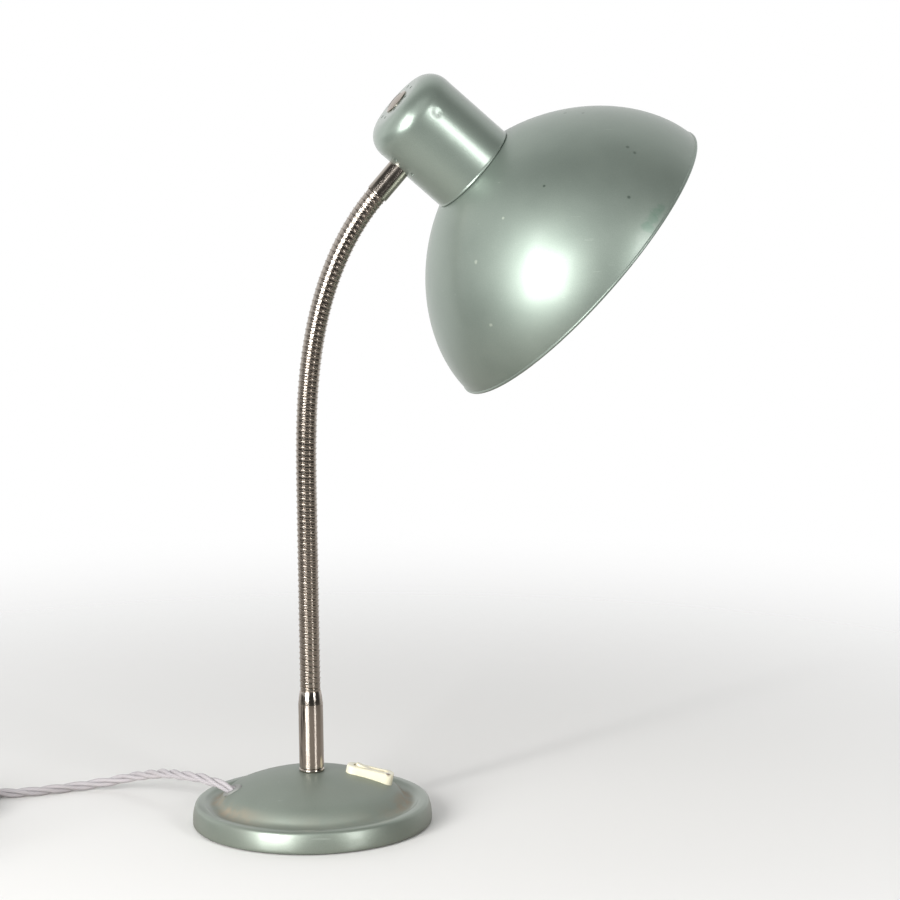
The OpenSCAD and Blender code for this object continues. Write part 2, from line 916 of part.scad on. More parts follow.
module holder_body() {
    color("#2f2c2a")
        at_head()
            difference() {
                rotate_extrude($fn = 96)
                    polygon([
                        [mouth_r, holder_front_z],
                        [holder_r, holder_front_z],
                        [holder_r, flange_z],
                        [flange_r, flange_z],
                        [flange_r, flange_z + flange_t],
                        [holder_r, flange_z + flange_t + 1],
                        [holder_back_r, flange_z + flange_t + 6],
                        [holder_back_r, holder_back_z - 2],
                        [holder_back_r - 2, holder_back_z],
                        [boss_r, holder_back_z],
                        [boss_r, holder_back_z + boss_h],
                        [thread_r, holder_back_z + boss_h],
                        [thread_r, holder_back_z],
                        [3.4, holder_back_z - 2],
                        [3.4, floor_z],
                        [shell_r + running, floor_z],
                        [shell_r + running, shell_z],
                        [mouth_r, shell_z]
                    ]);
                // Slots through which the terminals reach the contacts
                for (side = [-1, 1])
                    translate([-2.5, side * terminal_y - 0.6, floor_z - 1])
                        cube([5, 1.2, holder_back_z - floor_z + 2]);
            }
}

module holder_shell() {
    color("#c8a951")
        at_head()
            translate([0, 0, shell_z])
                difference() {
                    cylinder(r = shell_r, h = floor_z - shell_z - snug);
                    translate([0, 0, -1])
                        cylinder(r = shell_r - shell_wall, h = floor_z - shell_z + 2);
                }
}

module holder_contact() {
    tongue_t = 0.6;
    tongue_w = 5;
    leg_x = 5;
    color("#c8a951")
        at_head() {
            translate([-4, -tongue_w / 2, tip_z + running])
                cube([leg_x + 4, tongue_w, tongue_t]);
            translate([leg_x - tongue_t, -tongue_w / 2, tip_z + running])
                cube([tongue_t, tongue_w, floor_z - tip_z - running]);
        }
}

module holder_terminals() {
    color("#c8a951")
        at_head()
            for (side = [-1, 1])
                translate([0, side * terminal_y, 0]) {
                    translate([0, 0, holder_back_z])
                        cylinder(r = terminal_r, h = terminal_h);
                    translate([-2, -0.4, floor_z + 0.2])
                        cube([4, 0.8, holder_back_z - floor_z]);
                }
}

module head_leads() {
    end_z = holder_back_z + terminal_h + lead_r + running;
    color("#7d5a3a")
        at_head()
            for (side = [-1, 1])
                tube(
                    curve([
                        [-cap_r + 3, side * 1.4, entry_z],
                        [-cap_r + 7.5, side * 1.4, entry_z],
                        [-cap_r + 10.6, side * 2.2, entry_z + 1.2],
                        [-holder_back_r - 1.8, side * 6, holder_back_z - 0.5],
                        [-11, side * 12, end_z],
                        [0, side * terminal_y, end_z]
                    ], 3),
                    lead_r, [0, 1, 0.3]
                );
}

// The shade's outside at parameter u, which is 0 at the rim and crown_u at the flat crown
function shade_point(u) = [
    shade_r * pow(cos(u), curve_power), shade_h * pow(sin(u), curve_power)
];
function shade_out(u) = u < 1
    ? [1, 0]
    : let (step = shade_point(u + 0.05) - shade_point(u - 0.05))
        unit([step.y, -step.x]);

module shade() {
    steps = 26;
    fitter_r = holder_r + 0.5;
    outside = [for (i = [0 : steps]) shade_point(crown_u * i / steps)];
    inside = [
        for (i = [0 : steps])
            let (u = crown_u * i / steps)
            shade_point(u) - shade_wall * shade_out(u)
    ];
    color("#93a192")
        at_head()
            rotate_extrude($fn = 120)
                polygon(concat(
                    outside,
                    [[fitter_r, crown_h], [fitter_r, crown_h - shade_wall]],
                    reversed(inside)
                ));
}

module shade_ring() {
    ring_h = 4.5;
    notch = 0.9;
    color("#2f2c2a")
        at_head()
            translate([0, 0, crown_h - shade_wall - snug - ring_h])
                difference() {
                    cylinder(r = flange_r + 0.5, h = ring_h);
                    translate([0, 0, -1])
                        cylinder(r = holder_r + snug, h = ring_h + 2);
                    for (a = [0 : 30 : 330])
                        rotate([0, 0, a])
                            translate([flange_r + 0.7, 0, -1])
                                cylinder(r = notch, h = ring_h + 2);
                }
}

// ---- Bulb: a ball that runs into a narrow neck by a smooth curve, at depth t under its outside
function smooth(a, b, slope_a, slope_b, t) =
    (2 * t * t * t - 3 * t * t + 1) * a + (t * t * t - 2 * t * t + t) * slope_a
    + (3 * t * t - 2 * t * t * t) * b + (t * t * t - t * t) * slope_b;
function bulb_line(t) =
    let (
        r = bulb_r - t,
        wide = [r * cos(bulb_turn), bulb_c_z + r * sin(bulb_turn)],
        rise = bulb_neck_z - wide.y
    )
    concat(
        [
            for (i = [0 : 11])
                let (a = -90 + (90 + bulb_turn) * i / 11)
                [r * cos(a), bulb_c_z + r * sin(a)]
        ],
        [
            for (i = [1 : 6])
                [
                    smooth(wide.x, bulb_neck_r - t, -rise * tan(bulb_turn), -0.06 * rise, i / 6),
                    wide.y + rise * i / 6
                ]
        ],
        [[12.6 - t, bulb_cap_z - 1], [12.6 - t, bulb_cap_z + 6]]
    );

module bulb_glass() {
    color("#f4f1e6")
        at_head()
            rotate_extrude()
                polygon(concat(bulb_line(0), reversed(bulb_line(bulb_wall))));
}

module bulb_cap() {
    wall = 0.5;
    color("#b9bab6")
        at_head()
            rotate_extrude()
                polygon([
                    [bulb_cap_r, bulb_cap_z],
                    [bulb_cap_r, bulb_cap_z + 19],
                    [9.5, bulb_cap_z + 22.5],
                    [9, bulb_cap_z + 22.5],
                    [bulb_cap_r - wall, bulb_cap_z + 18.6],
                    [bulb_cap_r - wall, bulb_cap_z]
                ]);
}

module bulb_contact() {
    color("#c8a951")
        at_head()
            rotate_extrude()
                polygon([
                    [0, bulb_cap_z + 22], [8.2, bulb_cap_z + 22], [8.9, bulb_cap_z + 22.6],
                    [9.4, bulb_cap_z + 22.6], [5, bulb_cap_z + 24.8], [4, tip_z], [0, tip_z]
                ]);
}

// ---- Lead, coil and plug
module cord() {
    start = [gland_at - grip_far * gland_dir, gland_at + 2 * gland_dir];
    line = concat([start[0]], curve(concat([start[1]], cord_route), 2));
    color("#b9b6ba")
        tube(line, cord_r, [0, 0, 1], 10);
}

module cord_tail() {
    color("#b9b6ba")
        tube(curve(tail_route, 2), cord_r, [0, 0, 1], 10);
}

module cord_coil() {
    color("#b9b6ba")
        translate([coil_at.x, coil_at.y, coil_lift])
            rotate_extrude($fn = 64)
                translate([coil_r, 0])
                    polygon([
                        [-coil_half + coil_bevel, 0], [coil_half - coil_bevel, 0],
                        [coil_half, coil_bevel], [coil_half, coil_h - coil_bevel],
                        [coil_half - coil_bevel, coil_h], [-coil_half + coil_bevel, coil_h],
                        [-coil_half, coil_h - coil_bevel], [-coil_half, coil_bevel]
                    ]);
}

module cord_tie() {
    inner = coil_half + easy;
    color("#2b2b2c")
        translate([coil_at.x, coil_at.y, 0])
            rotate([0, 0, tie_az])
                translate([coil_r, 0, 0])
                    difference() {
                        translate([-inner - tie_t, -tie_w / 2, 0])
                            cube([2 * (inner + tie_t), tie_w, coil_lift + coil_h + easy + tie_t]);
                        translate([-inner, -tie_w, tie_t])
                            cube([2 * inner, 2 * tie_w, coil_lift + coil_h + easy - tie_t]);
                    }
}

module plug_relief() {
    thin_r = cord_r + 0.7;
    thick_r = cord_r + 2.4;
    steps = 5;
    color("#232324")
        translate(relief_end)
            rotate([90, 0, 0])
                rotate_extrude()
                    polygon(concat(
                        [[0, 0]],
                        [
                            for (i = [0 : steps])
                                [
                                    thin_r + (thick_r - thin_r) * pow(i / steps, 1.5),
                                    relief_l * i / steps
                                ]
                        ],
                        [[0, relief_l]]
                    ));
}

module plug_body() {
    corner = 9;
    color("#232324")
        at_plug()
            translate([0, -plug_l / 2, 0])
                hull() {
                    round_slab(plug_w - 9, plug_l - 9, 1, corner);
                    translate([0, 0, 4])
                        round_slab(plug_w, plug_l, plug_h - 5.5, corner);
                    translate([0, 0, plug_h - 1])
                        round_slab(plug_w - 2.4, plug_l - 2.4, 1, corner);
                }
}

module plug_pins() {
    color("#c8a951")
        at_plug() {
            for (side = [-1, 1])
                translate([side * pin_gap / 2 - 3.175, -pin_line - 2, plug_h])
                    cube([6.35, 4, 17.7]);
            translate([-2, -pin_line - pin_gap - 4, plug_h])
                cube([4, 8, 22.7]);
        }
}

function link_name(k) = str("neck_link_", k < 10 ? "0" : "", k);

base_shell();
base_weight();
base_plate();
base_felt();
plate_screws();
stem_collar();
stem_washer();
stem_nut();
lower_ferrule();
switch_housing();
rocker();
rocker_pin();
switch_contacts();
cord_gland();
cord_grip();
base_leads();
neck_lower_end();
for (k = [1 : link_count])
    neck_link(k);
neck_upper_end();
upper_ferrule();
neck_nut();
cap();
cap_nut();
cap_nipple();
nipple_lock_nut();
holder_body();
holder_shell();
holder_contact();
holder_terminals();
head_leads();
shade();
shade_ring();
bulb_glass();
bulb_cap();
bulb_contact();
cord();
cord_coil();
cord_tail();
cord_tie();
plug_relief();
plug_body();
plug_pins();
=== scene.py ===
"""Gooseneck desk lamp: the painted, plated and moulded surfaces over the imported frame."""

import json
import logging
import math
from dataclasses import dataclass
from enum import Enum
from typing import Callable, Sequence

import bpy
from mathutils import Matrix, Vector


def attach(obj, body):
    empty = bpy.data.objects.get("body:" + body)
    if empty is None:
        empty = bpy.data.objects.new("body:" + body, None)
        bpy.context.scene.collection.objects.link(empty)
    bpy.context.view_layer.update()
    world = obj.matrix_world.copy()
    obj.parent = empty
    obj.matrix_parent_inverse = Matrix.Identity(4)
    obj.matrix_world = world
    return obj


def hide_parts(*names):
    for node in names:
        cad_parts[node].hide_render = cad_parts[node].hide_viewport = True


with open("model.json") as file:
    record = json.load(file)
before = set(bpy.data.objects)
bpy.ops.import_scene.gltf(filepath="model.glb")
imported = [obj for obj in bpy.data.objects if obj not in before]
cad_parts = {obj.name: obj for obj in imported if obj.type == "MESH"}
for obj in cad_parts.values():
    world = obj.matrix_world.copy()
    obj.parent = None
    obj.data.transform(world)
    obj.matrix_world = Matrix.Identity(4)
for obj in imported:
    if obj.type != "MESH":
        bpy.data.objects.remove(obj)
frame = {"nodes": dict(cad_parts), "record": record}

log = logging.getLogger("desk_lamp")

MM = 0.001
Point2 = tuple[float, float]
Colour = tuple[float, float, float]
UV_MAP = "along"
NOISE_ROUGHNESS = 0.6
# Points nearer than this are one point, and edges within it are upright or level, in metres
MERGE = 1e-6


# ---------------------------------------------------------------- shader expressions


class Level:
    """A number that varies over a surface. Python's operators add the Math nodes."""

    def __init__(self, bench: "Bench", socket: bpy.types.NodeSocket) -> None:
        """Wraps an output socket.

        Args:
            bench: The tree that owns the nodes.
            socket: The output that carries the number.
        """
        self.bench = bench
        self.socket = socket

    def math(self, operation: str, *others: "Level | float", first: bool = True) -> "Level":
        """Adds one Math node.

        Args:
            operation: The Math node's operation.
            others: The other operands.
            first: Whether this value is the first operand.

        Returns:
            The node's result.
        """
        operands = dict(enumerate([self, *others] if first else [*others, self]))
        return self.bench.level("ShaderNodeMath", {"operation": operation}, operands)

    def __add__(self, other: "Level | float") -> "Level":
        """Sum."""
        return self.math("ADD", other)

    def __radd__(self, other: float) -> "Level":
        """Sum with a plain number in front."""
        return self.math("ADD", other)

    def __sub__(self, other: "Level | float") -> "Level":
        """Difference."""
        return self.math("SUBTRACT", other)

    def __rsub__(self, other: float) -> "Level":
        """Difference from a plain number."""
        return self.math("SUBTRACT", other, first=False)

    def __mul__(self, other: "Level | float") -> "Level":
        """Product."""
        return self.math("MULTIPLY", other)

    def __rmul__(self, other: float) -> "Level":
        """Product with a plain number in front."""
        return self.math("MULTIPLY", other)

    def __truediv__(self, other: "Level | float") -> "Level":
        """Quotient."""
        return self.math("DIVIDE", other)

    def __pow__(self, other: "Level | float") -> "Level":
        """Power."""
        return self.math("POWER", other)

    def sin(self) -> "Level":
        """Sine of the value in radians."""
        return self.math("SINE")

    def clamp(self) -> "Level":
        """The value held between 0 and 1."""
        return self.bench.level("ShaderNodeClamp", {}, {"Value": self})

    def ramp(self, low: float, high: float) -> "Level":
        """A smooth step from 0 at low to 1 at high; high may be the smaller one.

        Args:
            low: The value that gives 0.
            high: The value that gives 1.

        Returns:
            The step.
        """
        return self.bench.level(
            "ShaderNodeMapRange",
            {"interpolation_type": "SMOOTHSTEP", "clamp": True},
            {"Value": self, "From Min": low, "From Max": high, "To Min": 0.0, "To Max": 1.0},
        )


class Bench:
    """A tree of nodes, and the one way in which a node is added to it."""

    def __init__(self, tree: bpy.types.NodeTree) -> None:
        """Takes the tree of a material or of the world."""
        self.tree = tree

    def feed(self, target: bpy.types.NodeSocket, value: object) -> None:
        """Links or sets one input.

        Args:
            target: The input socket.
            value: A Level, an output socket, a number or a tuple.
        """
        if isinstance(value, Level):
            self.tree.links.new(value.socket, target)
        elif isinstance(value, bpy.types.NodeSocket):
            self.tree.links.new(value, target)
        elif isinstance(value, tuple) and len(value) == 3 and len(target.default_value) == 4:
            target.default_value = (*value, 1.0)
        else:
            target.default_value = value

    def node(
        self, kind: str, settings: dict[str, object], inputs: dict[object, object]
    ) -> bpy.types.Node:
        """Adds one node.

        Args:
            kind: The node's type.
            settings: Its properties, set before its sockets.
            inputs: Values or links for its sockets, by name or number.

        Returns:
            The node.
        """
        node = self.tree.nodes.new(kind)
        for key, value in settings.items():
            setattr(node, key, value)
        for key, value in inputs.items():
            self.feed(node.inputs[key], value)
        return node

    def level(
        self,
        kind: str,
        settings: dict[str, object],
        inputs: dict[object, object],
        output: int | str = 0,
    ) -> Level:
        """Adds one node and wraps one of its outputs."""
        return Level(self, self.node(kind, settings, inputs).outputs[output])

    def split(self, source: bpy.types.NodeSocket, count: int) -> tuple[Level, ...]:
        """The first few coordinates of a vector."""
        parts = self.node("ShaderNodeSeparateXYZ", {}, {0: source})
        return tuple(Level(self, parts.outputs[i]) for i in range(count))

    def mix(self, share: Level | float, low: object, high: object) -> bpy.types.NodeSocket:
        """Mixes two colours.

        Args:
            share: 0 gives low and 1 gives high.
            low: A colour or a socket.
            high: A colour or a socket.

        Returns:
            The mixed colour.
        """
        settings = {"data_type": "RGBA", "clamp_factor": True}
        return self.node("ShaderNodeMix", settings, {0: share, 6: low, 7: high}).outputs[2]


class Recipe(Bench):
    """The node tree of one material."""

    def __init__(self, name: str) -> None:
        """Starts a material with an empty Principled shader.

        Args:
            name: The material's name.
        """
        self.material = bpy.data.materials.new(name)
        self.material.use_nodes = True
        super().__init__(self.material.node_tree)
        self.shader = self.tree.nodes["Principled BSDF"]
        self.output = self.tree.nodes["Material Output"]
        self._place: bpy.types.NodeSocket | None = None

    @property
    def place(self) -> bpy.types.NodeSocket:
        """Object coordinates, in metres from the lamp's origin.

        Returns:
            The socket of the coordinates.
        """
        if self._place is None:
            self._place = self.node("ShaderNodeTexCoord", {}, {}).outputs["Object"]
        return self._place

    def uv(self) -> tuple[Level, Level]:
        """The piece's own map: once round, and metres along."""
        source = self.node("ShaderNodeUVMap", {"uv_map": UV_MAP}, {}).outputs["UV"]
        return self.split(source, 2)

    def from_axis(self) -> tuple[Level, Level]:
        """The place's X, and its distance from the lamp's upright axis, in metres."""
        x, y = self.split(self.place, 2)
        return x, (x * x + y * y) ** 0.5

    def mapped(
        self, shift: Colour, turn: Colour = (0.0, 0.0, 0.0), stretch: Colour = (1.0, 1.0, 1.0)
    ) -> bpy.types.NodeSocket:
        """The place after a shift, a turn and a stretch, for a pattern to lie on."""
        values = {"Vector": self.place, "Location": shift, "Rotation": turn, "Scale": stretch}
        return self.node("ShaderNodeMapping", {}, values).outputs[0]

    def noise(
        self,
        scale: float,
        detail: float = 2.0,
        stretch: Colour = (1.0, 1.0, 1.0),
        shift: Colour = (0.0, 0.0, 0.0),
        turn: Colour = (0.0, 0.0, 0.0),
    ) -> Level:
        """Smooth noise around 0.5.

        Args:
            scale: Waves per metre.
            detail: Number of finer layers.
            stretch: Scale of each axis before the noise.
            shift: Offset, so that two noises differ.
            turn: Turn of the axes, in radians.

        Returns:
            The noise.
        """
        source = self.mapped(shift, turn, stretch)
        values = {"Vector": source, "Scale": scale, "Detail": detail, "Roughness": NOISE_ROUGHNESS}
        return self.level("ShaderNodeTexNoise", {}, values)

    def cells(self, scale: float, shift: Colour = (0.0, 0.0, 0.0)) -> Level:
        """Distance to the nearest of many scattered points, in cells.

        Args:
            scale: Cells per metre.
            shift: Offset of the pattern.

        Returns:
            The distance.
        """
        values = {"Vector": self.mapped(shift), "Scale": scale}
        return self.level("ShaderNodeTexVoronoi", {}, values, "Distance")

    def near(self, spot: Colour) -> Level:
        """Distance in metres from one spot.

        Args:
            spot: The spot in the lamp's frame.

        Returns:
            The distance.
        """
        inputs = {0: self.place, 1: spot}
        return self.level("ShaderNodeVectorMath", {"operation": "DISTANCE"}, inputs, "Value")

    def bump(self, height: Level, depth: float, strength: float = 1.0) -> None:
        """Adds relief to the surface, over any relief it has.

        Args:
            height: 0 at the bottom and 1 at the top.
            depth: Metres from bottom to top.
            strength: Share of the relief that is used.
        """
        values = {"Strength": strength, "Distance": depth, "Height": height}
        node = self.node("ShaderNodeBump", {}, values)
        normal = self.shader.inputs["Normal"]
        if normal.is_linked:
            self.tree.links.new(normal.links[0].from_socket, node.inputs["Normal"])
        self.tree.links.new(node.outputs[0], normal)

    def surface(self, **values: object) -> None:
        """Sets the shader's sockets, with spaces in their names written as underscores.

        Args:
            values: What each socket gets.
        """
        names = {socket.name.lower().replace(" ", "_"): socket for socket in self.shader.inputs}
        for key, value in values.items():
            self.feed(names[key], value)


# ---------------------------------------------------------------- finishes


@dataclass(frozen=True)
class Mark:
    """A soft blot of colour round one spot, used for wear on the paint and for the painted shade of
    a gap.
    """

    spot: Colour
    radius: float
    colour: Colour
    strength: float = 1.0


@dataclass(frozen=True)
class Dent:
    """A shallow knock in the sheet."""

    spot: Colour
    radius: float
    depth: float


@dataclass(frozen=True)
class SagePaint:
    """Pale grey-green metallic lacquer on pressed steel."""

    name: str
    colour: Colour = (0.290, 0.343, 0.298)
    deep: Colour = (0.225, 0.272, 0.235)
    roughness: float = 0.44
    coat: float = 0.4
    chip: Colour = (0.045, 0.09, 0.065)
    dust: Colour = (0.30, 0.24, 0.17)
    coat_roughness: float = 0.16
    metal: float = 0.55
    trough: tuple[float, float] | None = None
    marks: tuple[Mark, ...] = ()
    dents: tuple[Dent, ...] = ()

    def make(self) -> bpy.types.Material:
        """Builds the material.

        Returns:
            The material.
        """
        r = Recipe(self.name)
        cloud = r.noise(14.0, 3.0)
        flake = r.noise(2600.0, 1.0, shift=(3.0, 1.0, 2.0))
        body = cloud.ramp(0.3, 0.7) * 0.55 + flake.ramp(0.35, 0.65) * 0.45
        colour = r.mix(body, self.deep, self.colour)
        roughness = self.roughness + (flake - 0.5) * 0.10 + (cloud - 0.5) * 0.08
        metal = self.metal + (flake - 0.5) * 0.2
        coat = self.coat * (1.0 - cloud.ramp(0.55, 0.8) * 0.4)
        # Short dark scratches and pinholes that go through to the primer
        scratch = r.noise(60.0, 4.0, stretch=(1.0, 0.22, 2.4), turn=(0.5, 0.3, 0.8))
        pinhole = r.cells(46.0, shift=(0.2, 0.5, 0.1))
        sparse = r.noise(11.0, 1.0, shift=(5.0, 2.0, 9.0)).ramp(0.55, 0.66)
        chips = (scratch.ramp(0.735, 0.765) * sparse + pinhole.ramp(0.055, 0.035) * sparse).clamp()
        fine = r.noise(240.0, 2.0, stretch=(0.12, 1.0, 3.0), turn=(0.2, 0.9, 0.4))
        colour = r.mix(chips * 0.85, colour, self.chip)
        colour = r.mix(fine.ramp(0.70, 0.78) * 0.25, colour, (0.5, 0.56, 0.5))
        for mark in self.marks:
            ragged = r.near(mark.spot) + (r.noise(220.0, 3.0) - 0.5) * mark.radius * 1.6
            blot = ragged.ramp(mark.radius, mark.radius * 0.35) * mark.strength
            colour = r.mix(blot, colour, mark.colour)
        if self.trough is not None:
            x, radius = r.from_axis()
            inner, outer = self.trough
            middle, half = (inner + outer) / 2, (outer - inner) / 2
            away = (radius - middle).math("ABSOLUTE")
            grime = away.ramp(half, half * 0.15) * r.noise(75.0, 4.0).ramp(0.28, 0.62)
            ends = 0.12 + (x / (radius + 0.001)).math("ABSOLUTE").ramp(0.55, 0.98) * 0.8
            colour = r.mix((grime * ends).clamp(), colour, self.dust)
            roughness = roughness + grime * ends * 0.3
            metal = metal - grime * ends * 0.5
            # The dome inside the trough is handled less and has gone duller than the rim; its
            # colour is also darkened there as painted shade
            inside = radius.ramp(outer, outer - 0.004)
            roughness = roughness + inside * 0.14
            metal = metal - inside * 0.08
            coat = coat * (1.0 - inside * 0.7)
            # Painted shade: the dome inside the trough takes a darker colour
            colour = r.mix(inside * 0.14, colour, (0.15, 0.17, 0.145))
            dulled = r.noise(42.0, 4.0, shift=(1.0, 7.0, 3.0)).ramp(0.5, 0.75) * 0.16
            colour = r.mix(dulled, colour, (0.22, 0.22, 0.19))
        r.surface(
            base_color=colour,
            metallic=(metal - chips * 0.5).clamp(),
            roughness=(roughness + chips * 0.2).clamp(),
            coat_weight=coat.clamp(),
            coat_roughness=self.coat_roughness,
            coat_ior=1.45,
            specular_ior_level=0.5,
        )
        r.bump(r.noise(90.0, 3.0), 0.00012, 0.35)
        for dent in self.dents:
            r.bump(r.near(dent.spot).ramp(0.0, dent.radius), dent.depth)
        r.bump(1.0 - chips, 0.00006, 0.6)
        return r.material


@dataclass(frozen=True)
class InnerWhite:
    """Old off-white reflector paint on the inside of the shade."""

    name: str = "inner_white"
    colour: Colour = (0.78, 0.76, 0.69)
    stain: Colour = (0.62, 0.55, 0.42)

    def make(self) -> bpy.types.Material:
        """Builds the material.

        Returns:
            The material.
        """
        r = Recipe(self.name)
        stain = r.noise(22.0, 4.0).ramp(0.5, 0.8) * 0.4 + r.noise(300.0, 2.0).ramp(0.66, 0.74) * 0.2
        colour = r.mix(stain, self.colour, self.stain)
        r.surface(base_color=colour, roughness=0.42 + r.noise(40.0) * 0.12)
        r.bump(r.noise(700.0, 2.0), 0.00004, 0.5)
        return r.material


@dataclass(frozen=True)
class Plating:
    """Plated or bare metal: bright chrome, dull zinc, brass or aluminium."""

    name: str
    colour: Colour
    tarnish: Colour
    roughness: float = 0.12
    wear: float = 0.3
    grain: Colour = (1.0, 1.0, 0.04)
    relief: float = 0.00001
    pitting: float = 0.6

    def make(self) -> bpy.types.Material:
        """Builds the material.

        Returns:
            The material.
        """
        r = Recipe(self.name)
        smudge = r.noise(45.0, 4.0, shift=(1.0, 4.0, 2.0))
        lines = r.noise(900.0, 2.0, stretch=self.grain)
        pits = r.cells(420.0).ramp(0.16, 0.08) * r.noise(60.0).ramp(0.55, 0.7)
        worn = smudge.ramp(0.45, 0.78) * self.wear
        share = (worn + lines.ramp(0.55, 0.75) * 0.12 + pits * self.pitting).clamp()
        dull = self.roughness + smudge.ramp(0.35, 0.8) * 0.14 + lines * 0.06
        r.surface(
            base_color=r.mix(share, self.colour, self.tarnish),
            metallic=1.0,
            roughness=(dull + pits * self.pitting * 0.5).clamp(),
        )
        if self.relief:
            r.bump(lines, self.relief, 0.5)
        return r.material


@dataclass(frozen=True)
class Moulding:
    """Moulded plastic, bakelite or rubber."""

    name: str
    colour: Colour
    aged: Colour
    roughness: float = 0.3
    grain: float = 900.0
    relief: float = 0.00003
    coat: float = 0.0
    bloom: float = 0.35
    marks: tuple[Mark, ...] = ()

    def make(self) -> bpy.types.Material:
        """Builds the material.

        Returns:
            The material.
        """
        r = Recipe(self.name)
        aged = r.noise(60.0, 4.0).ramp(0.4, 0.75) * self.bloom
        speck = r.noise(800.0, 2.0, shift=(2.0, 2.0, 2.0)).ramp(0.66, 0.76) * 0.3
        rub = r.noise(260.0, 3.0, stretch=(1.0, 0.2, 1.0)).ramp(0.6, 0.75) * 0.2
        colour = r.mix((aged + speck).clamp(), self.colour, self.aged)
        for mark in self.marks:
            blot = r.near(mark.spot).ramp(mark.radius, mark.radius * 0.4) * mark.strength
            colour = r.mix(blot, colour, mark.colour)
        r.surface(
            base_color=colour,
            roughness=(self.roughness + aged * 0.2 + rub * 0.4).clamp(),
            coat_weight=self.coat,
            coat_roughness=0.12,
        )
        r.bump(r.noise(self.grain, 3.0), self.relief, 0.5)
        return r.material


@dataclass(frozen=True)
class Felt:
    """Pressed wool felt."""

    name: str = "felt"
    colour: Colour = (0.035, 0.06, 0.042)
    lint: Colour = (0.10, 0.13, 0.10)

    def make(self) -> bpy.types.Material:
        """Builds the material.

        Returns:
            The material.
        """
        r = Recipe(self.name)
        fibre = r.noise(1500.0, 4.0)
        matted = r.noise(120.0, 3.0, shift=(4.0, 0.0, 1.0))
        share = (fibre.ramp(0.35, 0.75) * 0.7 + matted.ramp(0.5, 0.8) * 0.3).clamp()
        r.surface(base_color=r.mix(share, self.colour, self.lint), roughness=0.92, sheen_weight=0.3)
        r.bump(fibre * 0.7 + matted * 0.3, 0.00035, 0.8)
        return r.material


@dataclass(frozen=True)
class CastIron:
    """Rough grey casting."""

    name: str = "cast_iron"

    def make(self) -> bpy.types.Material:
        """Builds the material.

        Returns:
            The material.
        """
        r = Recipe(self.name)
        grain = r.noise(420.0, 5.0)
        rust = r.noise(38.0, 4.0, shift=(3.0, 3.0, 1.0)).ramp(0.52, 0.75)
        colour = r.mix(grain, (0.07, 0.07, 0.068), (0.16, 0.155, 0.15))
        r.surface(
            base_color=r.mix(rust * 0.7, colour, (0.16, 0.07, 0.03)),
            metallic=0.75 - rust * 0.5,
            roughness=0.55 + rust * 0.3,
        )
        r.bump(grain, 0.0004, 0.8)
        return r.material


@dataclass(frozen=True)
class BraidedFlex:
    """Cotton braid over each core of the lead."""

    name: str = "braided_flex"
    thread: Colour = (0.46, 0.43, 0.44)
    painted_weave_shadow: Colour = (0.36, 0.345, 0.36)
    stain: Colour = (0.42, 0.39, 0.38)
    plaits_round: int = 5
    plaits_along: float = 900.0

    def make(self) -> bpy.types.Material:
        """Builds the material.

        Returns:
            The material.
        """
        r = Recipe(self.name)
        round_, along = r.uv()
        turn = round_ * (2 * math.pi * self.plaits_round)
        run = along * (math.pi * self.plaits_along)
        left = (turn + run).sin() * 0.5 + 0.5
        right = (turn - run).sin() * 0.5 + 0.5
        weave = left.math("MAXIMUM", right)
        soil = r.noise(28.0, 4.0).ramp(0.45, 0.8) * 0.55
        fuzz = r.noise(2400.0, 2.0)
        # Painted shade: the braid's valleys take a darker colour than its crests
        colour = r.mix(weave.ramp(0.35, 0.95), self.painted_weave_shadow, self.thread)
        colour = r.mix(soil, colour, self.stain)
        colour = r.mix(fuzz.ramp(0.62, 0.8) * 0.4, colour, (0.72, 0.71, 0.73))
        r.surface(base_color=colour, roughness=0.78, sheen_weight=0.25, sheen_roughness=0.4)
        r.bump(weave * 0.8 + fuzz * 0.2, 0.00022, 0.9)
        return r.material


@dataclass(frozen=True)
class PearlGlass:
    """Frosted bulb glass."""

    name: str = "pearl_glass"

    def make(self) -> bpy.types.Material:
        """Builds the material.

        Returns:
            The material.
        """
        r = Recipe(self.name)
        haze = r.noise(30.0, 3.0)
        r.surface(
            base_color=r.mix(haze * 0.4, (0.9, 0.9, 0.88), (0.8, 0.79, 0.75)),
            roughness=0.34 + haze * 0.12,
            transmission_weight=0.55,
            ior=1.45,
            coat_weight=0.4,
            coat_roughness=0.08,
        )
        r.bump(r.noise(1500.0, 2.0), 0.00002, 0.4)
        return r.material


class Slot(Enum):
    """The record's material slots."""

    PAINT = "paint"
    WEIGHT = "cast_weight"
    PLATE = "plate"
    FELT = "felt"
    ZINC = "zinc_steel"
    CHROME = "chrome"
    HOSE = "hose"
    BRASS = "brass"
    CREAM = "cream"
    BAKELITE = "bakelite"
    LEADS = "leads"
    GLAND = "gland"
    GLASS = "bulb_glass"
    BULB_CAP = "bulb_cap"
    FLEX = "flex"
    TIE = "tie"
    PLUG = "plug"


CREAM_PLASTIC = Moulding(
    "cream",
    (0.76, 0.72, 0.55),
    (0.66, 0.56, 0.36),
    0.3,
    700.0,
    0.00003,
    0.3,
    # Painted shade with some dirt: a dark brown blot at the well's outer end, where the gap at the
    # rocker's end is
    marks=(Mark((0.0464, -0.0112, 0.0300), 0.0021, (0.10, 0.05, 0.025), 0.95),),
)
# Painted reflection: both chromes are darkened and browned, standing in for a dark brown room and
# table seen in them
CHROME_WITH_PAINTED_REFLECTION = Plating(
    "chrome", (0.44, 0.395, 0.35), (0.22, 0.18, 0.14), 0.07, 0.25, relief=0.0, pitting=0.15
)
HOSE_CHROME_WITH_PAINTED_REFLECTION = Plating(
    "hose",
    (0.42, 0.375, 0.33),
    (0.17, 0.135, 0.105),
    0.10,
    0.35,
    grain=(1.0, 1.0, 1.0),
    relief=0.0,
    pitting=0.15,
)

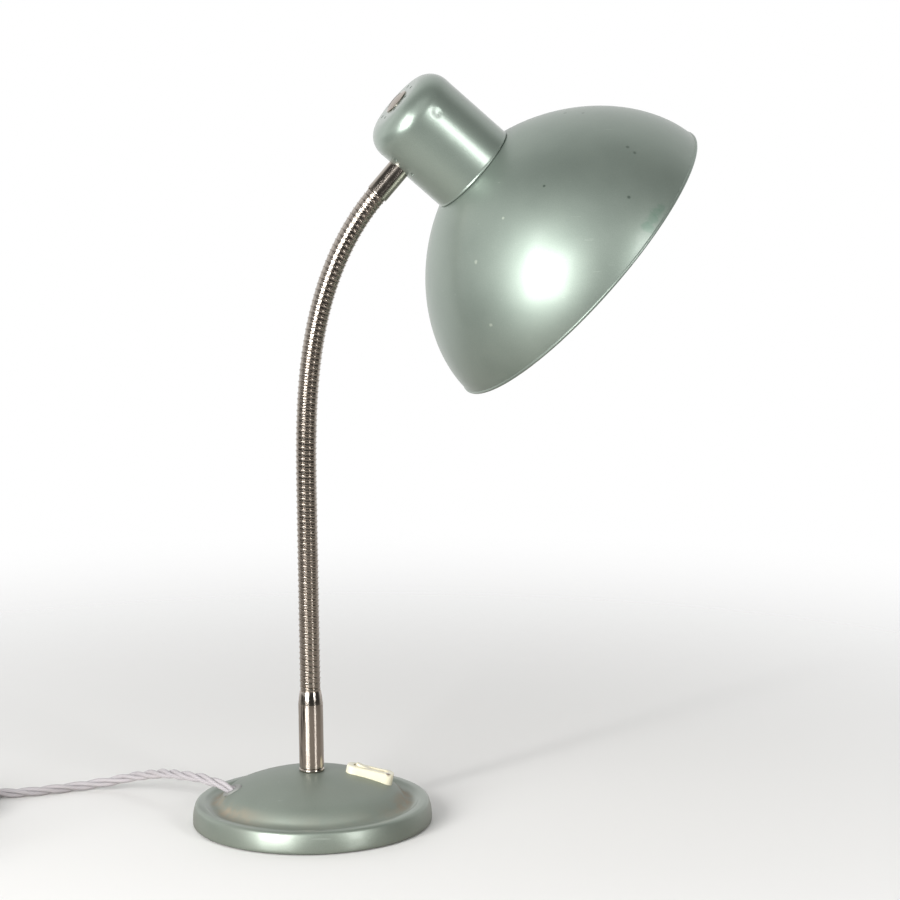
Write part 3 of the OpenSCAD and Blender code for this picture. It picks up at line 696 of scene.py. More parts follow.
FINISHES: dict[Slot, object] = {
    Slot.PAINT: SagePaint("paint"),
    Slot.WEIGHT: CastIron(),
    Slot.PLATE: Plating("plate", (0.42, 0.42, 0.41), (0.20, 0.16, 0.12), 0.38, 0.6),
    Slot.FELT: Felt(),
    Slot.ZINC: Plating("zinc_steel", (0.72, 0.72, 0.71), (0.46, 0.45, 0.42), 0.34, 0.4),
    Slot.CHROME: CHROME_WITH_PAINTED_REFLECTION,
    Slot.HOSE: HOSE_CHROME_WITH_PAINTED_REFLECTION,
    Slot.BRASS: Plating("brass", (0.66, 0.47, 0.19), (0.25, 0.15, 0.06), 0.24, 0.5),
    Slot.CREAM: CREAM_PLASTIC,
    Slot.BAKELITE: Moulding(
        "bakelite", (0.022, 0.018, 0.015), (0.06, 0.045, 0.035), 0.24, 500.0, 0.00003, 0.3
    ),
    Slot.LEADS: Moulding("leads", (0.20, 0.09, 0.04), (0.12, 0.06, 0.03), 0.5, 900.0),
    Slot.GLAND: Moulding(
        "gland", (0.24, 0.245, 0.232), (0.20, 0.19, 0.17), 0.55, 1200.0, 0.00006
    ),
    Slot.GLASS: PearlGlass(),
    Slot.BULB_CAP: Plating("bulb_cap", (0.72, 0.72, 0.71), (0.45, 0.43, 0.40), 0.22, 0.4),
    Slot.FLEX: BraidedFlex(),
    Slot.TIE: Moulding("tie", (0.02, 0.02, 0.02), (0.05, 0.05, 0.05), 0.4, 900.0),
    Slot.PLUG: Moulding(
        "plug", (0.018, 0.018, 0.018), (0.05, 0.047, 0.043), 0.33, 600.0, 0.00003, 0.15
    ),
}


class Dresser:
    """Makes each finish once and puts it on the pieces."""

    def __init__(self) -> None:
        """Starts with no material made."""
        self.made: dict[str, bpy.types.Material] = {}

    def material(self, finish: object) -> bpy.types.Material:
        """The finish's material, made the first time it is asked for.

        Args:
            finish: The finish.

        Returns:
            The material.
        """
        if finish.name not in self.made:
            self.made[finish.name] = finish.make()
        return self.made[finish.name]

    def carried(self, nodes: dict[str, bpy.types.Object], record: dict) -> None:
        """Dresses every node of the frame by its slot.

        Args:
            nodes: The frame's nodes.
            record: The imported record, which names each node's slot.
        """
        for row in record["subparts"]:
            obj = nodes[row["node"]]
            obj.data.materials.clear()
            obj.data.materials.append(self.material(FINISHES[Slot(row["material_slot"])]))
            log.info("node %s wears %s", row["node"], row["material_slot"])

    def fit(
        self,
        obj: bpy.types.Object,
        body: str,
        slot: Slot,
        replaces: Sequence[str] = (),
        finish: object | None = None,
    ) -> bpy.types.Object:
        """Gives a new piece its finish and its body.

        Args:
            obj: The finished piece.
            body: The body it rides on.
            slot: The record's slot that its finish belongs to.
            replaces: Nodes that it stands for.
            finish: A finish of its own in place of the slot's.

        Returns:
            The piece.
        """
        material = self.material(finish or FINISHES[slot])
        if obj.data.materials:
            obj.data.materials[0] = material
        else:
            obj.data.materials.append(material)
        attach(obj, body)
        if replaces:
            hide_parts(*replaces)
        faces = len(obj.data.polygons)
        log.info("piece %s: %d faces, in place of %s", obj.name, faces, list(replaces))
        return obj


# ---------------------------------------------------------------- modelling steps


def arc(centre: Point2, radius: float, start: float, stop: float, count: int) -> list[Point2]:
    """Points on an arc in the plane of radius and height, its end left out.

    Args:
        centre: The arc's centre.
        radius: Its radius.
        start: First angle, in degrees.
        stop: Last angle, in degrees.
        count: Number of points.

    Returns:
        The points.
    """
    angles = [math.radians(start + (stop - start) * i / count) for i in range(count)]
    return [(centre[0] + radius * math.cos(a), centre[1] + radius * math.sin(a)) for a in angles]


def thickened(line: Sequence[Point2], wall: float) -> list[Point2]:
    """A closed outline: the line, and the same line moved by a wall to its left, run back.

    Args:
        line: The outside, from its outer edge to its middle.
        wall: Thickness, towards the left of the line's run.

    Returns:
        The outline, with its first point repeated at the end.
    """
    inner: list[Point2] = []
    for i, (x, y) in enumerate(line):
        (ax, ay), (bx, by) = line[max(i - 1, 0)], line[min(i + 1, len(line) - 1)]
        dx, dy = bx - ax, by - ay
        size = math.hypot(dx, dy)
        inner.append((max(x - dy / size * wall, 0.0), y + dx / size * wall))
    return [*line, *reversed(inner), line[0]]


def ring(radius: float, count: int, first: float = 0.0) -> list[Point2]:
    """Points spaced evenly round a circle, from the first one's angle in degrees."""
    angles = [math.radians(first + 360 / count * i) for i in range(count)]
    return [(radius * math.cos(a), radius * math.sin(a)) for a in angles]


def angled(degrees: float, axis: str) -> Matrix:
    """A turn about one of the three axes."""
    return Matrix.Rotation(math.radians(degrees), 4, axis)


def drop_selection() -> None:
    """Leaves edit mode and deselects every object."""
    if bpy.context.mode != "OBJECT":
        bpy.ops.object.mode_set(mode="OBJECT")
    bpy.ops.object.select_all(action="DESELECT")


def choose(obj: bpy.types.Object) -> None:
    """Selects one object and makes it the active one.

    Args:
        obj: The object.
    """
    drop_selection()
    obj.select_set(True)
    bpy.context.view_layer.objects.active = obj


def added(name: str, data: bpy.types.ID) -> bpy.types.Object:
    """An object for data such as a lamp's or a camera's, put into the scene.

    Args:
        name: The object's name.
        data: What it holds.

    Returns:
        The object.
    """
    obj = bpy.data.objects.new(name, data)
    bpy.context.scene.collection.objects.link(obj)
    return obj


def named(name: str) -> bpy.types.Object:
    """Names the active object and its mesh, and returns it.

    Args:
        name: The name.

    Returns:
        The object.
    """
    obj = bpy.context.active_object
    obj.name = name
    obj.data.name = name
    return obj


def edit(select: str = "SELECT") -> None:
    """Enters edit mode with everything selected, or nothing.

    Args:
        select: SELECT for everything, or DESELECT for nothing.
    """
    bpy.ops.object.mode_set(mode="EDIT")
    bpy.ops.mesh.select_mode(type="VERT")
    bpy.ops.mesh.select_all(action=select)


def draw_line(name: str, line: Sequence[Point2]) -> bpy.types.Object:
    """Draws a chain of edges, one extrusion after another, and stays in edit mode.

    Args:
        name: The object's name.
        line: Points of the chain, as X and Z.

    Returns:
        The object.
    """
    points = [Vector((x, 0.0, z)) for x, z in line]
    drop_selection()
    bpy.ops.mesh.primitive_plane_add(size=0.01)
    obj = named(name)
    edit()
    bpy.ops.mesh.merge(type="CENTER")
    bpy.ops.transform.translate(value=points[0])
    for here, there in zip(points[:-1], points[1:]):
        bpy.ops.mesh.extrude_region_move(TRANSFORM_OT_translate={"value": there - here})
    return obj


def close_up() -> None:
    """Merges points that meet, turns the faces outwards and leaves edit mode."""
    bpy.ops.mesh.select_all(action="SELECT")
    bpy.ops.mesh.remove_doubles(threshold=MERGE)
    bpy.ops.mesh.normals_make_consistent(inside=False)
    bpy.ops.object.mode_set(mode="OBJECT")


def turned(
    name: str, line: Sequence[Point2], steps: int = 96, smooth: float = 35.0
) -> bpy.types.Object:
    """Turns an outline round Z, as on a lathe.

    Args:
        name: The piece's name.
        line: Its outline, as radius and height.
        steps: Faces round it.
        smooth: Edges flatter than this many degrees are shaded smooth.

    Returns:
        The piece.
    """
    obj = draw_line(name, line)
    bpy.ops.mesh.select_all(action="SELECT")
    bpy.ops.mesh.spin(steps=steps, angle=2 * math.pi, center=(0, 0, 0), axis=(0, 0, 1))
    close_up()
    shade(obj, smooth)
    return obj


def shade(obj: bpy.types.Object, angle: float = 35.0) -> None:
    """Shades a piece smooth where its faces meet at less than an angle."""
    choose(obj)
    bpy.ops.object.shade_smooth_by_angle(angle=math.radians(angle))


def bevelled(
    obj: bpy.types.Object, radius: float, segments: int, chosen: Callable[[Vector, Vector], bool]
) -> bpy.types.Object:
    """Bevels some of a piece's edges.

    Args:
        obj: The piece.
        radius: Radius of the bevel.
        segments: Faces across it.
        chosen: Says from an edge's two ends whether it is bevelled.

    Returns:
        The piece.
    """
    drop_selection()
    bpy.context.view_layer.objects.active = obj
    edit("DESELECT")
    bpy.ops.mesh.select_mode(type="EDGE")
    bpy.ops.object.mode_set(mode="OBJECT")
    for edge in obj.data.edges:
        a, b = (obj.data.vertices[i].co for i in edge.vertices)
        edge.select = chosen(a, b)
    bpy.ops.object.mode_set(mode="EDIT")
    bpy.ops.mesh.bevel(offset=radius, segments=segments, affect="EDGES")
    bpy.ops.object.mode_set(mode="OBJECT")
    return obj


def settle(obj: bpy.types.Object, place: Matrix | None = None) -> bpy.types.Object:
    """Moves a piece to its place and writes that place into its mesh.

    Args:
        obj: The piece.
        place: Its place in the lamp's frame.

    Returns:
        The piece, at the origin, unturned and unscaled.
    """
    choose(obj)
    if place is not None:
        obj.matrix_world = place @ obj.matrix_world
    bpy.ops.object.transform_apply(location=True, rotation=True, scale=True)
    obj.select_set(False)
    return obj


def modify(obj: bpy.types.Object, kind: str, **values: object) -> bpy.types.Object:
    """Adds a modifier and applies it.

    Args:
        obj: The piece.
        kind: The modifier's type.
        values: Its settings.

    Returns:
        The piece.
    """
    choose(obj)
    modifier = obj.modifiers.new(kind.lower(), kind)
    for key, value in values.items():
        setattr(modifier, key, value)
    bpy.ops.object.modifier_apply(modifier=modifier.name)
    return obj


def carve(obj: bpy.types.Object, cutter: bpy.types.Object, operation: str = "DIFFERENCE") -> None:
    """Cuts one piece with another, and removes the cutter.

    Args:
        obj: The piece that stays.
        cutter: The piece that cuts.
        operation: What is done with the two.
    """
    modify(obj, "BOOLEAN", operation=operation, solver="EXACT", object=cutter)
    mesh = cutter.data
    bpy.data.objects.remove(cutter)
    bpy.data.meshes.remove(mesh)


def softened(obj: bpy.types.Object, width: float, segments: int, degrees: float) -> None:
    """Bevels each edge of a piece that is sharper than an angle."""
    limit = math.radians(degrees)
    modify(obj, "BEVEL", width=width, segments=segments, limit_method="ANGLE", angle_limit=limit)


def round_uprights(obj: bpy.types.Object, radius: float, segments: int) -> bpy.types.Object:
    """Bevels the four upright edges of a box.

    Args:
        obj: The box.
        radius: Radius of the bevel.
        segments: Faces across it.

    Returns:
        The box.
    """

    def upright(a: Vector, b: Vector) -> bool:
        """Whether an edge's ends lie one over the other."""
        return abs(a.x - b.x) < MERGE and abs(a.y - b.y) < MERGE

    return bevelled(obj, radius, segments, upright)


def block(name: str, size: Colour, centre: Colour) -> bpy.types.Object:
    """A box of the given size, as a start for a piece.

    Args:
        name: Its name.
        size: Its three sides.
        centre: Its middle.

    Returns:
        The box.
    """
    drop_selection()
    bpy.ops.mesh.primitive_cube_add(size=1.0, location=centre, scale=size)
    obj = named(name)
    return settle(obj)


def rod(
    name: str, radius: float, length: float, place: Matrix, sides: int = 32
) -> bpy.types.Object:
    """A round bar from its place's origin along its Z, as a start or a cutter.

    Args:
        name: Its name.
        radius: Its radius.
        length: Its length.
        place: The place that it starts from.
        sides: Faces round it.

    Returns:
        The bar.
    """
    drop_selection()
    bpy.ops.mesh.primitive_cylinder_add(
        vertices=sides, radius=radius, depth=length, location=(0, 0, length / 2)
    )
    obj = named(name)
    settle(obj)
    return settle(obj, place)


def joined(name: str, parts: Sequence[bpy.types.Object]) -> bpy.types.Object:
    """Joins several meshes into one object.

    Args:
        name: The name of the whole.
        parts: The meshes.

    Returns:
        The one object.
    """
    drop_selection()
    for part in parts:
        part.select_set(True)
    bpy.context.view_layer.objects.active = parts[0]
    bpy.ops.object.join()
    return named(name)


def slide(points: Sequence[Vector], steps: int) -> list[Vector]:
    """A smooth curve through points.

    Args:
        points: The points that it passes.
        steps: Pieces between each two.

    Returns:
        Points along the curve.
    """
    line: list[Vector] = []
    last = len(points) - 1
    for i in range(last):
        a, b = points[max(i - 1, 0)], points[i]
        c, d = points[i + 1], points[min(i + 2, last)]
        for j in range(steps):
            t = j / steps
            bend = (2 * a - 5 * b + 4 * c - d) * t**2
            line.append(0.5 * (2 * b + (c - a) * t + bend + (3 * b - a - 3 * c + d) * t**3))
    line.append(points[last].copy())
    return line


def even(line: Sequence[Vector], step: float) -> list[Vector]:
    """The same line with points at an even spacing.

    Args:
        line: Points along a line.
        step: Wanted spacing.

    Returns:
        The points.
    """
    reach = [0.0]
    for a, b in zip(line[:-1], line[1:]):
        reach.append(reach[-1] + (b - a).length)
    count = max(2, round(reach[-1] / step))
    result: list[Vector] = []
    k = 0
    for i in range(count + 1):
        s = reach[-1] * i / count
        while k < len(line) - 2 and reach[k + 1] < s:
            k += 1
        span = max(reach[k + 1] - reach[k], 1e-12)
        result.append(line[k].lerp(line[k + 1], (s - reach[k]) / span))
    return result


# ---------------------------------------------------------------- places


@dataclass(frozen=True)
class Places:
    """Where the sub-assemblies stand in the lamp's frame, in metres."""

    base_r: float = 0.075
    rim_h: float = 0.0143
    rim_w: float = 0.0066
    base_h: float = 0.033
    wall_r: float = 0.030
    wall_a: float = 18.0
    bead_r: float = 0.003
    bead_in_r: float = 0.003
    trough_r: float = 0.006
    foot_r: float = 0.0195
    rim_slope: float = 40.0
    side_slope: float = 60.0
    seat_r: float = 0.009
    collar_h: float = 0.0023
    lower_ferrule: float = 0.0493
    pitch: float = 0.0177
    links: int = 17
    lean: float = 41.8
    lean_start: float = 6.8
    upper_ferrule: float = 0.0202
    cap_r: float = 0.030
    neck_entry: float = 0.0347
    shade_r: float = 0.105
    shade_h: float = 0.0945
    curve_power: float = 1.12
    seam: float = 0.0011
    switch_az: float = -6.0
    switch_turn: float = -9.0
    switch_level: float = 4.0
    switch_in: float = 0.0215
    gland_az: float = 177.0
    gland_heading: float = 158.0
    gland_rise: float = 32.0
    gland_in: float = 0.007

    @property
    def wall_c(self) -> Point2:
        """Centre of the rim's slightly bulging side."""
        rise = (self.wall_r - self.bead_r) * math.sin(math.radians(self.wall_a))
        return (self.base_r - self.wall_r, self.rim_h - self.bead_r - rise)

    @property
    def bead_c(self) -> Point2:
        """Centre of the rim's outer corner."""
        reach = (self.wall_r - self.bead_r) * math.cos(math.radians(self.wall_a))
        return (self.wall_c[0] + reach, self.rim_h - self.bead_r)

    @property
    def bead_in_c(self) -> Point2:
        """Centre of the rim's inner corner."""
        return (self.base_r - self.rim_w, self.rim_h - self.bead_in_r)

    def _step(self, start: Point2, reach: float) -> Point2:
        """A point at a distance from start, square to the side's slope."""
        slope = math.radians(self.side_slope)
        return (start[0] - reach * math.sin(slope), start[1] - reach * math.cos(slope))

    @property
    def trough_c(self) -> Point2:
        """Centre of the trough's round.

        Returns:
            Radius and height.
        """
        slope = math.radians(self.rim_slope)
        reach = self.bead_in_r + self.trough_r
        return (
            self.bead_in_c[0] - reach * math.sin(slope),
            self.bead_in_c[1] + reach * math.cos(slope),
        )

    @property
    def foot_start(self) -> Point2:
        """Where the dome's foot meets the trough."""
        return self._step(self.trough_c, self.trough_r)

    @property
    def foot_c(self) -> Point2:
        """Centre of the round at the dome's foot."""
        return self._step(self.foot_start, self.foot_r)

    @property
    def dome_r(self) -> float:
        """Radius of the dome.

        Returns:
            The radius in metres.
        """
        x, y = self.foot_c
        square = x**2 + (y - self.base_h) ** 2 - self.foot_r**2
        return square / (2 * (self.base_h - y - self.foot_r))

    @property
    def dome_c(self) -> Point2:
        """Centre of the dome."""
        return (0.0, self.base_h - self.dome_r)

    @property
    def meet(self) -> float:
        """Angle at which the dome runs into its foot, in degrees."""
        return math.degrees(math.atan2(self.foot_c[1] - self.dome_c[1], self.foot_c[0]))

    def dome_z(self, radius: float) -> float:
        """Height of the dome's outside at a radius.

        Args:
            radius: Distance from the upright axis.

        Returns:
            The height.
        """
        if radius < self.dome_r * math.cos(math.radians(self.meet)):
            return self.dome_c[1] + math.sqrt(self.dome_r**2 - radius**2)
        return self.foot_c[1] + math.sqrt(self.foot_r**2 - (radius - self.foot_c[0]) ** 2)

    def dome_tilt(self, radius: float) -> float:
        """Slope of the dome at a radius, in radians.

        Args:
            radius: Distance from the upright axis.

        Returns:
            The slope.
        """
        if radius < self.dome_r * math.cos(math.radians(self.meet)):
            return math.asin(radius / self.dome_r)
        return math.asin((radius - self.foot_c[0]) / self.foot_r)

    def on_dome(self, radius: float, azimuth: float) -> Matrix:
        """The shift to a point on the dome, by its radius and its azimuth in degrees.

        Args:
            radius: Distance from the upright axis.
            azimuth: Bearing, in degrees.

        Returns:
            The shift.
        """
        az = math.radians(azimuth)
        at = (radius * math.cos(az), radius * math.sin(az), self.dome_z(radius))
        return Matrix.Translation(at)

    @property
    def seat_z(self) -> float:
        """Height of the flat under the collar."""
        return self.dome_z(self.seat_r)

    @property
    def ferrule_top(self) -> float:
        """Height at which the hose leaves the lower ferrule."""
        return self.seat_z + self.collar_h + self.lower_ferrule

    @property
    def switch(self) -> Matrix:
        """The switch's place: X along it, Z out of the dome.

        Returns:
            The place in the lamp's frame.
        """
        radius = self.foot_start[0] - self.switch_in
        slope = self.dome_tilt(radius) - math.radians(self.switch_level)
        heading = angled(self.switch_az, "Z") @ Matrix.Rotation(slope, 4, "Y")
        return self.on_dome(radius, self.switch_az) @ (heading @ angled(self.switch_turn, "Z"))

    @property
    def gland(self) -> Matrix:
        """The cord gland's place: Z along the lead, outwards."""
        heading = angled(self.gland_heading, "Z") @ angled(90 - self.gland_rise, "Y")
        return self.on_dome(self.foot_start[0] - self.gland_in, self.gland_az) @ heading

    def tilt(self, k: float) -> float:
        """Angle from upright of part k of the neck, in radians."""
        share = max(0.0, (k - self.lean_start) / (self.links + 1 - self.lean_start))
        return math.radians(self.lean) * share**2

    def along(self, k: float) -> Vector:
        """Direction of part k of the neck."""
        return Vector((math.sin(self.tilt(k)), 0.0, math.cos(self.tilt(k))))

    def joint(self, j: int) -> Vector:
        """Centre of joint j of the neck, counted from 1 at the bottom.

        Args:
            j: The joint's number.

        Returns:
            The centre.
        """
        at = Vector((0.0, 0.0, self.ferrule_top + self.pitch / 2))
        for k in range(1, j):
            at = at + self.pitch * self.along(k)
        return at

    @property
    def hose_end(self) -> Matrix:
        """Where the hose enters the upper ferrule: Z along the neck."""
        at = self.joint(self.links + 1) + self.pitch / 2 * self.along(self.links + 1)
        return Matrix.Translation(at) @ angled(self.lean, "Y")

    def shade_z(self, radius: float) -> float:
        """Height of the shade's outside over its rim at a radius."""
        u = math.acos((radius / self.shade_r) ** (1 / self.curve_power))
        return self.shade_h * math.sin(u) ** self.curve_power

    @property
    def cap_rim(self) -> float:
        """Height of the cap's open rim behind the shade's rim."""
        return self.shade_z(self.cap_r) + self.seam

    @property
    def entry(self) -> float:
        """Height of the neck's axis behind the shade's rim."""
        return self.cap_rim + self.neck_entry

    @property
    def head(self) -> Matrix:
        """The head's place: the middle of the shade's rim, Z towards the cap.

        Returns:
            The place in the lamp's frame.
        """
        lean = math.radians(self.lean)
        ahead = Vector((math.sin(lean), 0.0, math.cos(lean)))
        down = Vector((math.cos(lean), 0.0, -math.sin(lean)))
        at = self.hose_end.translation + (self.upper_ferrule + self.cap_r) * ahead
        at = at + self.entry * down
        return Matrix.Translation(at) @ Matrix.Rotation(lean - math.pi / 2, 4, "Y")


PLACES = Places()


# ---------------------------------------------------------------- sub-assemblies


@dataclass
class Base:
    """The weighted base's pressed shell."""

    wall: float = 0.0012
    lip: float = 0.0008
    gap: float = 0.0008
    hole_r: float = 0.0051
    slot: Point2 = (0.0256, 0.0101)
    gland_hole: float = 0.0051
    slot_depth: float = 0.03
    gland_depth: float = 0.018

    def shell_line(self) -> list[Point2]:
        """The shell's outside, from its lower edge to the stem's hole.

        Returns:
            Points as radius and height.
        """
        p = PLACES
        slope = p.side_slope
        edge = p.base_r - self.lip
        line = arc((edge, self.gap + self.lip), self.lip, -80, 0, 4)
        line += arc(p.wall_c, p.wall_r, 0, p.wall_a, 9)
        line += arc(p.bead_c, p.bead_r, p.wall_a, 90, 12)
        line += arc(p.bead_in_c, p.bead_in_r, 90, 90 + p.rim_slope, 7)
        line += arc(p.trough_c, p.trough_r, 270 + p.rim_slope, 270 - slope, 14)
        line += arc(p.foot_c, p.foot_r, 90 - slope, p.meet, 9)
        line += arc(p.dome_c, p.dome_r, p.meet, math.degrees(math.acos(p.seat_r / p.dome_r)), 14)
        return line + [(p.seat_r, p.seat_z), (self.hole_r, p.seat_z)]

    def shell(self) -> bpy.types.Object:
        """The pressed shell, with its openings for the switch and the lead.

        Returns:
            The piece.
        """
        # The line runs inwards over the top, so the wall lies to its left
        shell = turned("lamp_base", thickened(self.shell_line(), self.wall), 144, 40)
        switch = block("slot_cutter", (*self.slot, self.slot_depth), (0, 0, 0))
        carve(shell, settle(switch, PLACES.switch))
        start = PLACES.gland @ Matrix.Translation((0, 0, -self.gland_depth / 2))
        carve(shell, rod("gland_cutter", self.gland_hole, self.gland_depth, start, 40))
        shade(shell, 40)
        return shell

    def build(self, dresser: Dresser) -> None:
        """Makes the shell.

        Args:
            dresser: Puts on the finishes.
        """
        # A darker, greyer copy of the sage paint: painted shade and painted reflection on the base
        paint = SagePaint(
            "base_paint",
            colour=(0.262, 0.298, 0.256),
            deep=(0.200, 0.232, 0.196),
            roughness=0.40,
            coat=0.35,
            trough=(0.0520, 0.0655),
        )
        dresser.fit(self.shell(), "base", Slot.PAINT, ["base_shell"], paint)


@dataclass
class Stem:
    """The bright collar and the tube that hold the neck's lower end."""

    collar_r: float = 0.008
    tube_r: float = 0.00770
    bore_r: float = 0.00585
    spigot_r: float = 0.005
    wire_r: float = 0.0032
    play: float = 0.0001
    low_end: float = 0.008
    low_edge: float = 0.0007
    foot_edge: float = 0.0004
    socket: float = 0.0122
    roll: float = 0.0003
    mouth_in: float = 0.00102
    # The taper at the top: distance below the mouth, and how far it has drawn in
    taper: tuple[Point2, ...] = (
        (0.0084, 0.0), (0.0081, 0.00002), (0.0056, 0.00030), (0.0028, 0.00064),
    )

    def collar(self) -> bpy.types.Object:
        """The rounded collar on the dome.

        Returns:
            The piece.
        """
        z = PLACES.seat_z
        half = PLACES.collar_h / 2
        centre = (self.collar_r - half, z + half)
        bore = self.spigot_r + self.play
        line = [(bore, z), (centre[0] + half * 0.3, z), *arc(centre, half, -72, 90, 12)]
        line += [(centre[0], z + 2 * half), (bore, z + 2 * half), line[0]]
        return turned("stem_collar_ring", line, 72, 40)

    def tube(self) -> bpy.types.Object:
        """The long ferrule, with its spigot through the dome.

        Returns:
            The piece.
        """
        foot = PLACES.seat_z + PLACES.collar_h
        top = PLACES.ferrule_top
        end, edge, tube = self.low_end, self.low_edge, self.tube_r
        line = [(self.wire_r, end), (self.spigot_r - edge, end), (self.spigot_r, end + edge)]
        line += [(self.spigot_r, foot), (tube - self.foot_edge, foot)]
        line += [(tube, foot + up) for up in (self.foot_edge, 0.012, 0.03)]
        line += [(tube - drawn, top - down) for down, drawn in self.taper]
        mouth = tube - self.mouth_in - self.roll
        line += arc((mouth, top - self.roll), self.roll, 8, 90, 5)
        line += [(mouth, top), (self.bore_r, top), (self.bore_r, top - self.socket)]
        line += [(self.wire_r, top - self.socket), line[0]]
        return turned("neck_tube", line, 80, 40)

    def build(self, dresser: Dresser) -> None:
        """Makes the collar and the tube."""
        dresser.fit(self.collar(), "base", Slot.CHROME, ["stem_collar"])
        dresser.fit(self.tube(), "base", Slot.CHROME, ["lower_ferrule"])


@dataclass
class Switch:
    """The moulded rocker switch on the dome."""

    length: float = 0.030
    width: float = 0.0125
    height: float = 0.0052
    sunk: float = 0.004
    lip_r: float = 0.0045
    brow: float = 0.0012
    well: tuple[float, float, float] = (0.0224, 0.0056, 0.011)
    rocker_l: float = 0.0202
    rocker_w: float = 0.005
    pin_z: float = 0.0008
    tilt: float = 8.0
    soft: float = 0.0004
    # The rocker's side: crest over the case, dip and edge under its top, belly under the pin
    crest: float = 0.0004
    dip: float = 0.0006
    edge: float = 0.0024
    belly: Point2 = (0.004, 0.0041)

    def oblong(
        self, name: str, length: float, width: float, low: float, high: float
    ) -> bpy.types.Object:
        """A bar with round ends: a box whose upright edges are fully rounded."""
        bar = block(name, (length, width, high - low), (0, 0, (low + high) / 2))
        return round_uprights(bar, width / 2 * 0.999, 10)

    def housing(self) -> bpy.types.Object:
        """The housing: a rounded block with a well down its middle, following the dome below.

        Returns:
            The piece.
        """
        body = block(
            "switch_case",
            (self.length, self.width, self.height + self.sunk),
            (0, 0, (self.height - self.sunk) / 2),
        )
        round_uprights(body, self.lip_r, 10)
        top = self.height - MERGE
        bevelled(body, self.brow, 5, lambda a, b: a.z > top and b.z > top)
        well_l, well_w, depth = self.well
        under = block("under", (*self.slot_size, 0.009), (0, 0, -0.0085))
        carve(body, under, "UNION")
        carve(body, self.oblong("well", well_l, well_w, -depth, self.height + 0.003))
        softened(body, self.soft, 3, 50)
        shade(body, 40)
        return settle(body, PLACES.switch)

    @property
    def slot_size(self) -> Point2:
        """Size of the part that goes down into the shell."""
        return (self.length - 0.005, self.width - 0.003)

    def rocker(self) -> bpy.types.Object:
        """The rocker: a bar with a dip in its top, rocked on its pin.

        Returns:
            The piece.
        """
        half, top, dip = self.rocker_l / 2, self.height + self.crest, self.height - self.dip
        edge, flat, belly = self.height - self.edge, self.belly[0], self.pin_z - self.belly[1]
        side = [(-half, top), (0.0, dip), (half, top), (half, edge)]
        side += [(flat, belly), (-flat, belly), (-half, edge)]
        obj = draw_line("switch_rocker", side + side[:1])
        bpy.ops.mesh.select_all(action="SELECT")
        bpy.ops.mesh.remove_doubles(threshold=MERGE)
        bpy.ops.mesh.select_all(action="SELECT")
        bpy.ops.mesh.edge_face_add()
        bpy.ops.transform.translate(value=(0, -self.rocker_w / 2, 0))
        bpy.ops.mesh.extrude_region_move(TRANSFORM_OT_translate={"value": (0, self.rocker_w, 0)})
        close_up()
        ends = self.oblong("ends", self.rocker_l, self.rocker_w, belly - 0.001, top + 0.001)
        carve(obj, ends, "INTERSECT")
        softened(obj, self.soft, 3, 35)
        shade(obj, 50)
        lift = Matrix.Translation((0, 0, self.pin_z))
        rock = lift @ angled(self.tilt, "Y") @ lift.inverted()
        return settle(obj, PLACES.switch @ rock)

    def build(self, dresser: Dresser) -> None:
        """Makes the housing and the rocker."""
        dresser.fit(self.housing(), "base", Slot.CREAM, ["switch_housing"])
        dresser.fit(self.rocker(), "rocker", Slot.CREAM, ["rocker"])


